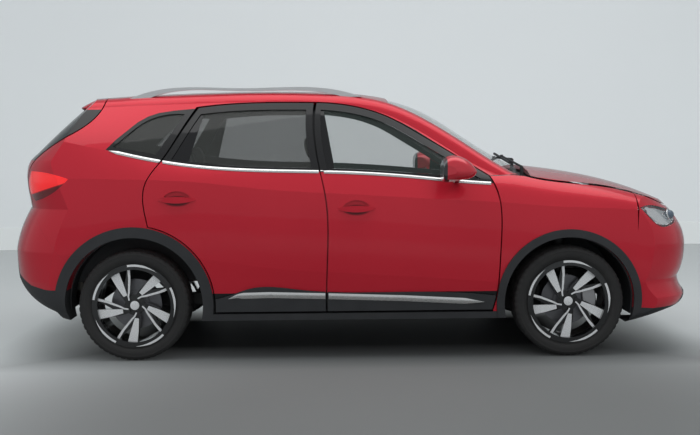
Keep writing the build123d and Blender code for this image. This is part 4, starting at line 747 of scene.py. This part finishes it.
def tyre_piece(end, side, rubber):
    """A tyre with its tread cut, closed by a plain inner barrel."""
    centre, way = wheel_frame(end, side)
    profile = tyre_profile()
    rows = len(profile) - 1
    barrel = [(BEAD_OUT, BARREL_RADIUS), (-BEAD_OUT, BARREL_RADIUS)]

    def shape(u, v):
        step, row = round(u * TYRE_STEPS), round(v * (rows + 3))
        angle = 2 * math.pi * (step % TYRE_STEPS) / TYRE_STEPS
        if row > rows:
            out, radius = (barrel + [profile[0][:2]])[row - rows - 1]
            return ring_point(centre, way, out, radius, angle)
        out, radius, tread = profile[row]
        apart, depth = SHOULDER_CUTS if abs(out) > SHOULDER_OUT else MIDDLE_CUTS
        if tread and step % apart == 0:
            radius -= depth
        return ring_point(centre, way, out, radius, angle)

    piece = sheet(f"{end}_{side}_tyre_tread", TYRE_STEPS, rows + 3, shape, rubber)
    return smooth(tidied(piece, 1e-4), 40)


# rows of (radius, degrees, half width) from the flange to the hub
BROAD_SPOKE = ((0.240, 49.0, 0.0300), (0.150, 53.0, 0.0225), (0.078, 62.0, 0.0120))
THIN_SPOKE = ((0.241, 26.0, 0.0085), (0.165, 28.0, 0.0066), (0.085, 41.0, 0.0054), (0.066, 52.0, 0.0046),
              (0.044, 66.0, 0.0040))
# a flange arc's radius, its first and last degree, and its half width
RIM_ARC = (0.2412, -17.0, 26.5, 0.0064)
ARC_STEPS = 8
SPOKES = 5
PLATE_THICKNESS = 0.0025
SPOKE_RECESS = 0.026
CAP_RADIUS, CAP_DEPTH, CAP_LIFT = 0.027, 0.006, 0.001


def plate_path(name, centre, way, rows, face, material, steps=12):
    """A flat machined plate through rows of (radius, degrees, half width) about a wheel's axis."""
    points = [Vector((radius * math.cos(math.radians(turn)), radius * math.sin(math.radians(turn))))
              for radius, turn, _ in rows]

    def shape(u, v):
        place = u * (len(rows) - 1)
        index = min(int(place), len(rows) - 2)
        share = place - index
        middle = points[index].lerp(points[index + 1], share)
        before = points[max(index - (share < 0.5), 0)]
        after = points[min(index + 1 + (share >= 0.5), len(rows) - 1)]
        way_on = (after - before).normalized()
        half = rows[index][2] * (1 - share) + rows[index + 1][2] * share
        flat = middle + Vector((-way_on.y, way_on.x)) * half * (2 * v - 1)
        return Vector((centre.x + flat.x, centre.y + way * face, centre.z + flat.y))

    piece = sheet(name, steps, 2, shape, material)
    return modified(piece, "SOLIDIFY", thickness=PLATE_THICKNESS, offset=0.0)


def wheel_faces(end, side, machined):
    """The machined faces of one rim's spokes and flange, and its bare cap, in one piece."""
    centre, way = wheel_frame(end, side)
    hub_face = abs(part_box(f"{end}_{side}_rim")[0 if side == "right" else 1].y) - abs(centre.y)
    spoke_face = hub_face - SPOKE_RECESS
    radius, first, last, half = RIM_ARC
    parts = []
    for step in range(SPOKES):
        turn = 360.0 / SPOKES * step
        for label, spoke in (("broad", BROAD_SPOKE), ("thin", THIN_SPOKE)):
            rows = [(reach, angle + turn, width) for reach, angle, width in spoke]
            parts.append(plate_path(f"{label}_{step}", centre, way, rows, spoke_face, machined))
        arc = [(radius, turn + first + (last - first) * share / ARC_STEPS, half * min(1.0, share / 4))
               for share in range(ARC_STEPS + 1)]
        parts.append(plate_path(f"arc_{step}", centre, way, arc, hub_face, machined, steps=2 * ARC_STEPS))
    deselect()
    cap_at = (centre.x, centre.y + way * (spoke_face + CAP_LIFT), centre.z)
    bpy.ops.mesh.primitive_cylinder_add(vertices=48, radius=CAP_RADIUS, depth=CAP_DEPTH, location=cap_at,
                                        rotation=(math.pi / 2, 0, 0))
    parts.append(named("cap", machined))
    modified(parts[-1], "BEVEL", width=0.002, segments=3)
    choose(*parts)
    bpy.ops.object.transform_apply(location=True, rotation=True, scale=True)
    bpy.ops.object.join()
    return smooth(tidied(named(f"{end}_{side}_rim_face")), 30)


class CROSSOVER_OT_wheels(bpy.types.Operator):
    """Moulds the treaded tyres and machines the rims' faces"""
    bl_idname = "crossover.wheels"
    bl_label = "Mould the tyres and face the rims"

    def execute(self, context):
        rubber, machined = tyre_finish(), machined_finish()
        for end, side in CORNERS:
            tyre = tyre_piece(end, side, rubber)
            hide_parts(f"{end}_{side}_tyre")
            face = wheel_faces(end, side, machined)
            for piece in (tyre, face):
                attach(piece, f"{end}_{side}_wheel")
        return {"FINISHED"}


# ---- seats ----------------------------------------------------------------------------------------------
# the pads: their remeshed grain, how far they shrink, and how far the cloth's pressure may swell them
SEAT_VOXEL = 0.020
SEAT_SHRINK = 0.010
SEAT_SWELL = 0.024
SEAM_WIDTH, SEAM_DEPTH = 0.012, 0.010
FRONT_SEAMS = (-0.125, 0.125)
BENCH_SEAMS = (-0.40, -0.17, 0.17, 0.40)
CUSHION_SEAM_STEP = 0.115
# a seam takes hold where the cover faces up or ahead by this much, and a channel across pulls by this share
SEWN_FROM, CHANNEL_PULL = 0.3, 0.7
COVER_QUALITY, COVER_PRESSURE, COVER_FRAMES = 3, 4.0, 20


def loose_parts(node):
    """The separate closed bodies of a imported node, as new objects."""
    choose(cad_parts[node])
    bpy.ops.object.duplicate()
    tidied(bpy.context.active_object, 1e-6)
    bpy.ops.object.mode_set(mode="EDIT")
    bpy.ops.mesh.select_all(action="SELECT")
    bpy.ops.mesh.separate(type="LOOSE")
    bpy.ops.object.mode_set(mode="OBJECT")
    return sorted(bpy.context.selected_objects, key=lambda part: part.bound_box[0][1])


def swollen(piece):
    """Fills a pad with pressure, as foam under a sewn cover, and holds it within the space it has."""
    start = [vertex.co.copy() for vertex in piece.data.vertices]
    choose(piece)
    cloth = piece.modifiers.new("cover", "CLOTH")
    cloth.settings.quality = COVER_QUALITY
    cloth.settings.use_pressure = True
    cloth.settings.uniform_pressure_force = COVER_PRESSURE
    cloth.settings.effector_weights.gravity = 0.0
    for step in range(1, COVER_FRAMES + 1):
        bpy.context.scene.frame_set(step)
    bpy.ops.object.modifier_apply(modifier=cloth.name)
    bpy.context.scene.frame_set(1)
    for vertex, before in zip(piece.data.vertices, start):
        moved = vertex.co - before
        if moved.length > SEAT_SWELL:
            vertex.co = before + moved * (SEAT_SWELL / moved.length)
    return piece


def sewn(piece, seams):
    """Pulls a seat's cover in along its lengthwise seams and the channels across it."""
    middle = sum(vertex.co.y for vertex in piece.data.vertices) / len(piece.data.vertices)
    for vertex in piece.data.vertices:
        place, normal = vertex.co, vertex.normal
        upper = max(0.0, max(normal.z, normal.x))
        if upper < SEWN_FROM:
            continue
        across = min(abs(place.y - middle - seam) for seam in seams)
        run = place.x if normal.z > normal.x else place.z
        along = abs((run / CUSHION_SEAM_STEP) % 1.0 - 0.5) * CUSHION_SEAM_STEP
        inside = abs(place.y - middle) < max(abs(seam) for seam in seams)
        pull = math.exp(-((across / SEAM_WIDTH) ** 2))
        if inside:
            channel = math.exp(-(((CUSHION_SEAM_STEP / 2 - along) / SEAM_WIDTH) ** 2))
            pull = max(pull, CHANNEL_PULL * channel)
        vertex.co = place - normal * SEAM_DEPTH * pull
    return piece


class CROSSOVER_OT_seats(bpy.types.Operator):
    """Pads the front seats and the rear bench with sewn covers"""
    bl_idname = "crossover.seats"
    bl_label = "Pad the seats"

    def execute(self, context):
        cloth = fabric_finish("seat_cloth", (0.030, 0.030, 0.033))
        for node, seams, labels in (("front_seats", FRONT_SEAMS, ("right_front_seat", "left_front_seat")),
                                    ("rear_seat", BENCH_SEAMS, ("rear_bench",))):
            for part, label in zip(loose_parts(node), labels):
                choose(part)
                pad = named(label, cloth)
                modified(pad, "REMESH", mode="VOXEL", voxel_size=SEAT_VOXEL)
                modified(pad, "DISPLACE", strength=-SEAT_SHRINK, mid_level=0.0)
                swollen(pad)
                modified(pad, "SMOOTH", factor=0.5, iterations=3)
                modified(pad, "SUBSURF", levels=1, render_levels=1)
                smooth(sewn(pad, seams), 60)
                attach(pad, "body")
                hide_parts(node)
        return {"FINISHED"}


# ---- lamps ----------------------------------------------------------------------------------------------
PROJECTOR_AT = (1.930, -0.690, 0.832)
PROJECTOR_RADIUS = 0.029
# the ring about a projector: its gap to it, its thickness and its turn in degrees
RING_GAP, RING_THICKNESS = 0.004, 0.0045
RING_TURN = (0.0, 75.0, -35.0)
BOWL_DEPTH = 0.014


class CROSSOVER_OT_lamps(bpy.types.Operator):
    """Fits the headlamps' projectors and bright bowls behind the lenses"""
    bl_idname = "crossover.lamps"
    bl_label = "Fit the headlamps"

    def execute(self, context):
        bright = metal_finish("lamp_chrome", (0.86, 0.87, 0.88), 0.10)
        ball = gloss_finish("projector_ball", (0.10, 0.13, 0.17), 0.04)
        place = Vector(PROJECTOR_AT)
        deselect()
        bpy.ops.mesh.primitive_uv_sphere_add(segments=40, ring_count=20, radius=PROJECTOR_RADIUS,
                                             location=place)
        lens = named("right_projector", ball)
        bpy.ops.object.transform_apply(location=True, rotation=True, scale=True)
        deselect()
        bpy.ops.mesh.primitive_torus_add(major_radius=PROJECTOR_RADIUS + RING_GAP,
                                         minor_radius=RING_THICKNESS, location=place,
                                         rotation=[math.radians(turn) for turn in RING_TURN],
                                         major_segments=56, minor_segments=14)
        ring = named("right_projector_ring", bright)
        bpy.ops.object.transform_apply(location=True, rotation=True, scale=True)
        bowls = merged_copy(("headlamps",), "headlamp_bowls", bright)
        modified(bowls, "DISPLACE", strength=-BOWL_DEPTH, mid_level=0.0)
        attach(smooth(bowls), "body")
        for right in (lens, ring):
            for piece in (right, mirror_copy(right, right.name.replace("right", "left"))):
                smooth(piece, 60)
                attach(piece, "body")
        return {"FINISHED"}


# ---- tailpipe -------------------------------------------------------------------------------------------
# behind this x, the pipe keeps this share of its length
PIPE_TURN, PIPE_SHARE = -1.78, 0.30


class CROSSOVER_OT_exhaust(bpy.types.Operator):
    """Ends the tailpipe short of the bumper's edge, out of sight from the side"""
    bl_idname = "crossover.exhaust"
    bl_label = "Shorten the tailpipe"

    def execute(self, context):
        pipe = merged_copy(("exhaust",), "exhaust_pipe")
        for vertex in pipe.data.vertices:
            if vertex.co.x < PIPE_TURN:
                vertex.co.x = PIPE_TURN + (vertex.co.x - PIPE_TURN) * PIPE_SHARE
        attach(smooth(pipe), "body")
        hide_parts("exhaust")
        return {"FINISHED"}


# ---- operators ------------------------------------------------------------------------------------------
class CROSSOVER_OT_finishes(bpy.types.Operator):
    """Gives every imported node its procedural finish"""
    bl_idname = "crossover.finishes"
    bl_label = "Finish the packed model"

    def execute(self, context):
        paint = context.scene.crossover_paint
        base, dark = tuple(paint.body), tuple(paint.cladding)
        red = paint_finish("body_paint", base)
        grained = plastic_finish("cladding", dark)
        black = gloss_finish("gloss_black", GLOSS_BLACK)
        trim = plastic_finish("interior_trim", (0.018, 0.018, 0.020), 1800.0, 0.3, 0.6)
        clear = glass_finish("clear_glass", CLEAR_TINT, 0.12)
        front_glass = glass_finish("front_door_glass", CLEAR_TINT, 0.12, FRONT_DIVIDER, MIRROR_CORNER)
        rear_glass = glass_finish("rear_door_glass", DARK_TINT, 0.36, REAR_DIVIDER)
        dark_glass = glass_finish("dark_glass", DARK_TINT, 0.40)
        lens = glass_finish("headlamp_lens", (0.50, 0.53, 0.55), 0.12)
        finishes = {
            red: ("front_fenders", "front_bumper", "hood_panel", "rear_bumper"),
            paint_finish("roof_paint", base, lining=HEADLINER): ("roof_panel",),
            paint_finish("side_paint", base, window_surround): ("body_sides",),
            paint_finish("gate_paint", base, gate_surround): ("tailgate_panel",),
            paint_finish("door_paint", base, above_belt, cups=HANDLE_CUPS): four("{}_{}_door_panel"),
            grained: ("arch_cladding", "bumper_skirts", "arch_liners", "cowl", "wipers",
                      *four("{}_{}_door_cladding")),
            paint_finish("handle_paint", base): four("{}_{}_door_handle"),
            black: ("grille",),
            trim: ("dashboard", "steering_wheel"),
            clear: ("windscreen",),
            front_glass: pair("front_{}_door_window"),
            dark_glass: ("quarter_windows", "tailgate_window"),
            rear_glass: pair("rear_{}_door_window"),
            lens: ("headlamps",),
            lamp_finish(): ("tail_lamps",),
            mirror_finish(base): pair("front_{}_mirror"),
            metal_finish("rail_metal", (0.88, 0.89, 0.90), 0.34): ("roof_rails",),
            rim_finish(): four("{}_{}_rim"),
            tyre_finish(): four("{}_{}_tyre"),
            disc_finish(): four("{}_{}_brake_disc"),
            chassis_finish("knuckle_iron", (0.02, 0.02, 0.02)): (*pair("front_{}_knuckle"), "rear_axle",
                                                                 "front_subframe"),
            plastic_finish("floor_coat", (0.020, 0.020, 0.021), 500.0, 0.5, 0.7): ("floor_pan",),
            metal_finish("engine_alloy", (0.36, 0.36, 0.35), 0.45): ("engine_block",),
            metal_finish("exhaust_steel", (0.34, 0.32, 0.29), 0.38): ("exhaust",),
            fabric_finish("seat_cloth", (0.016, 0.016, 0.018)): ("front_seats", "rear_seat"),
        }
        for material, nodes in finishes.items():
            for name in nodes:
                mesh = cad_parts[name].data
                mesh.materials.clear()
                mesh.materials.append(material)
        missed = [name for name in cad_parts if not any(name in nodes for nodes in finishes.values())]
        if missed:
            raise RuntimeError(f"nodes without a finish: {missed}")
        return {"FINISHED"}


class CROSSOVER_OT_studio(bpy.types.Operator):
    """Sets up the floor, the wall with its skirting, the lights and the camera"""
    bl_idname = "crossover.studio"
    bl_label = "Set up the studio"

    def execute(self, context):
        studio = context.scene.crossover_studio
        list(studio_room(studio))
        studio_lights(context)
        studio_camera(context)
        return {"FINISHED"}


CAMERA_AT = (-0.134, -6.859, 1.300)
# yaw, pitch and roll in radians
CAMERA_TURN = (0.018754, -0.075840, -0.007557)
CAMERA_LENS, SENSOR_WIDTH = 52.42, 36.0
ROOM = 16.0
WALL_SINK = 0.1
# the skirting board's height and depth
SKIRTING = (0.275, 0.03)
WALL_GLOW = (0.27, 0.285, 0.29)
NO_GLOW = (0.0, 0.0, 0.0)
# the colours of the floor's painted shade beside the car, of its painted shadow under the car, and of the
# painted glow that lightens it away from them
FLOOR_PAINTED_POOL = (0.22, 0.23, 0.228)
FLOOR_PAINTED_SHADOW = (0.03, 0.03, 0.031)
FLOOR_GLOW = (0.16, 0.17, 0.17)
# the painted shade pool on the floor beside the car, where its shadow and dark reflection fall: its middle,
# and how fast it fades
SHADOW_POOL_AT, SHADOW_POOL_FADE = (0.35, -2.4), 0.36
# the half sizes of the painted shadow under the car, and how fast it comes in from each edge
SHADE_HALF, SHADE_EDGE = (2.0, 0.95), (1.2, 1.6)


def studio_room(studio):
    """The floor, the wall and the skirting board, each with its place in its mesh."""
    wall_y = CAD_BOX[1].y + studio.wall_gap
    deselect()
    bpy.ops.mesh.primitive_plane_add(size=2 * ROOM, location=(0, wall_y - ROOM, 0))
    floor = named("studio_floor", floor_finish(tuple(studio.floor)))
    deselect()
    bpy.ops.mesh.primitive_plane_add(size=2 * ROOM, location=(0, wall_y, ROOM - WALL_SINK),
                                     rotation=(math.pi / 2, 0, 0))
    wall = named("studio_wall", wall_finish("studio_wall", tuple(studio.wall)))
    deselect()
    tall, deep = SKIRTING
    bpy.ops.mesh.primitive_cube_add(size=1, location=(0, wall_y - deep / 2, tall / 2),
                                    scale=(2 * ROOM, deep, tall))
    skirting = named("studio_skirting", wall_finish("studio_skirting", tuple(studio.skirting)))
    modified(skirting, "BEVEL", width=0.008, segments=2)
    for piece in (floor, wall, skirting):
        choose(piece)
        bpy.ops.object.transform_apply(location=True, rotation=True, scale=True)
    return floor, wall, skirting


def wall_finish(name, base):
    """Pale paint, a little lighter to the eye than the lamps alone would make it, and clear from behind."""
    finish = Finish(name, Roughness=0.9, Specular_IOR_Level=0.1, Emission_Strength=1.0)
    point = finish.point()
    cloud = finish.noise(point, 0.6, 4.0)
    finish.put("Base Color", finish.blend(cloud, scaled(base, 0.97), scaled(base, 1.02)))
    seen = finish.node("ShaderNodeLightPath", {}, out="Is Camera Ray")
    side = (finish.part(point, "X") * 0.008 + 1.0) * seen
    finish.put("Alpha", 1 - finish.node("ShaderNodeNewGeometry", {}, out="Backfacing"))
    finish.put("Emission Color", finish.blend(side, NO_GLOW, WALL_GLOW))
    return finish.material


def floor_finish(base):
    """Painted floor, pale at the wall and darker towards the front, with painted shade beside the car, a
    painted shadow under it and a painted glow away from both.
    """
    finish = Finish("studio_floor", Roughness=0.6, Specular_IOR_Level=0.05, Emission_Strength=1.0)
    point = finish.point()
    x, y = finish.parts(point, "XY")
    # painted shade: a darker pool beside the car, where its shadow and dark reflection fall
    spread = ((x - SHADOW_POOL_AT[0]) * SHADOW_POOL_FADE) ** 2 + ((y - SHADOW_POOL_AT[1]) * SHADOW_POOL_FADE) ** 2
    far = finish.node("ShaderNodeMapRange", {"interpolation_type": "SMOOTHSTEP"}, Value=spread, From_Min=0.1,
                      From_Max=1.25)
    # painted shadow: a dark patch under the car
    lengthwise = (SHADE_HALF[0] - abs(x)) * SHADE_EDGE[0]
    across = (SHADE_HALF[1] - abs(y)) * SHADE_EDGE[1]
    under = lengthwise.least(across).over(0.25, 1.1)
    cloud = finish.noise(point, 0.8, 4.0) * 0.06 + 0.97
    shade = finish.blend(under, finish.blend(far, FLOOR_PAINTED_POOL, base), FLOOR_PAINTED_SHADOW)
    tone = finish.node("ShaderNodeVectorMath", {"operation": "SCALE"}, shade, Scale=cloud, out="Vector")
    finish.put("Base Color", tone)
    seen = finish.node("ShaderNodeLightPath", {}, out="Is Camera Ray")
    # painted light: the floor glows for the camera away from the painted shade and shadow
    finish.put("Emission Color", finish.blend(far ** 2 * seen * (1 - under), NO_GLOW, FLOOR_GLOW))
    return finish.material


WORLD_STRENGTH = 0.50
LAMPS_AIM = (0, 0, 0.6)
# name, place, size, watts, and whether the paint mirrors it
LAMPS = (
    ("ceiling", (0.2, -0.8, 4.4), (7.0, 3.2), 105.0, True),
    ("front_fill", (1.0, -7.5, 3.2), (6.0, 2.2), 100.0, False),
)


def studio_lights(context):
    """An even sky, and area lamps that point at the car."""
    world = bpy.data.worlds.new("studio_light")
    world.use_nodes = True
    background = world.node_tree.nodes["Background"]
    background.inputs["Color"].default_value = (0.93, 0.97, 1.0, 1.0)
    background.inputs["Strength"].default_value = WORLD_STRENGTH
    context.scene.world = world
    for name, place, size, power, mirrored in LAMPS:
        light = bpy.data.lights.new(name, "AREA")
        light.shape, light.size, light.size_y, light.energy = "RECTANGLE", size[0], size[1], power
        lamp = bpy.data.objects.new(name, light)
        lamp.location = place
        lamp.visible_glossy = mirrored
        lamp.rotation_euler = (Vector(LAMPS_AIM) - Vector(place)).to_track_quat("-Z", "Y").to_euler()
        context.scene.collection.objects.link(lamp)


def studio_camera(context):
    """A camera off the car's right flank, lower than the roof and tipped down a little."""
    yaw, pitch, roll = CAMERA_TURN
    ahead = Vector((math.sin(yaw) * math.cos(pitch), math.cos(yaw) * math.cos(pitch), math.sin(pitch)))
    level = Vector((math.cos(yaw), -math.sin(yaw), 0))
    over = level.cross(ahead)
    right = level * math.cos(roll) + over * math.sin(roll)
    up = right.cross(ahead)
    camera = bpy.data.objects.new("camera", bpy.data.cameras.new("camera"))
    context.scene.collection.objects.link(camera)
    camera.data.lens, camera.data.sensor_width = CAMERA_LENS, SENSOR_WIDTH
    camera.data.clip_start, camera.data.clip_end = 0.1, 100.0
    camera.matrix_world = Matrix((right, up, -ahead)).transposed().to_4x4()
    camera.location = CAMERA_AT
    context.scene.camera = camera
    context.scene.view_settings.view_transform = "Standard"


# ---- the add-on -----------------------------------------------------------------------------------------
STEPS = (CROSSOVER_OT_finishes, CROSSOVER_OT_trim, CROSSOVER_OT_wheels, CROSSOVER_OT_seats,
         CROSSOVER_OT_lamps, CROSSOVER_OT_exhaust, CROSSOVER_OT_studio)


class CROSSOVER_PT_panel(bpy.types.Panel):
    """Lists the steps that build the car's looks"""
    bl_idname = "CROSSOVER_PT_panel"
    bl_label = "Compact crossover"
    bl_space_type = "VIEW_3D"
    bl_region_type = "UI"
    bl_category = "Crossover"

    def draw(self, context):
        for settings in (context.scene.crossover_paint, context.scene.crossover_studio):
            for name in settings.__annotations__:
                self.layout.prop(settings, name)
        for step in STEPS:
            self.layout.operator(step.bl_idname)


CLASSES = (PaintSettings, StudioSettings, *STEPS, CROSSOVER_PT_panel)


def register():
    for cls in CLASSES:
        bpy.utils.register_class(cls)
    bpy.types.Scene.crossover_paint = bpy.props.PointerProperty(type=PaintSettings)
    bpy.types.Scene.crossover_studio = bpy.props.PointerProperty(type=StudioSettings)


def unregister():
    del bpy.types.Scene.crossover_studio
    del bpy.types.Scene.crossover_paint
    for cls in reversed(CLASSES):
        bpy.utils.unregister_class(cls)


def main():
    register()
    for step in STEPS:
        getattr(bpy.ops.crossover, step.bl_idname.split(".")[1])()


if __name__ == "__main__":
    main()
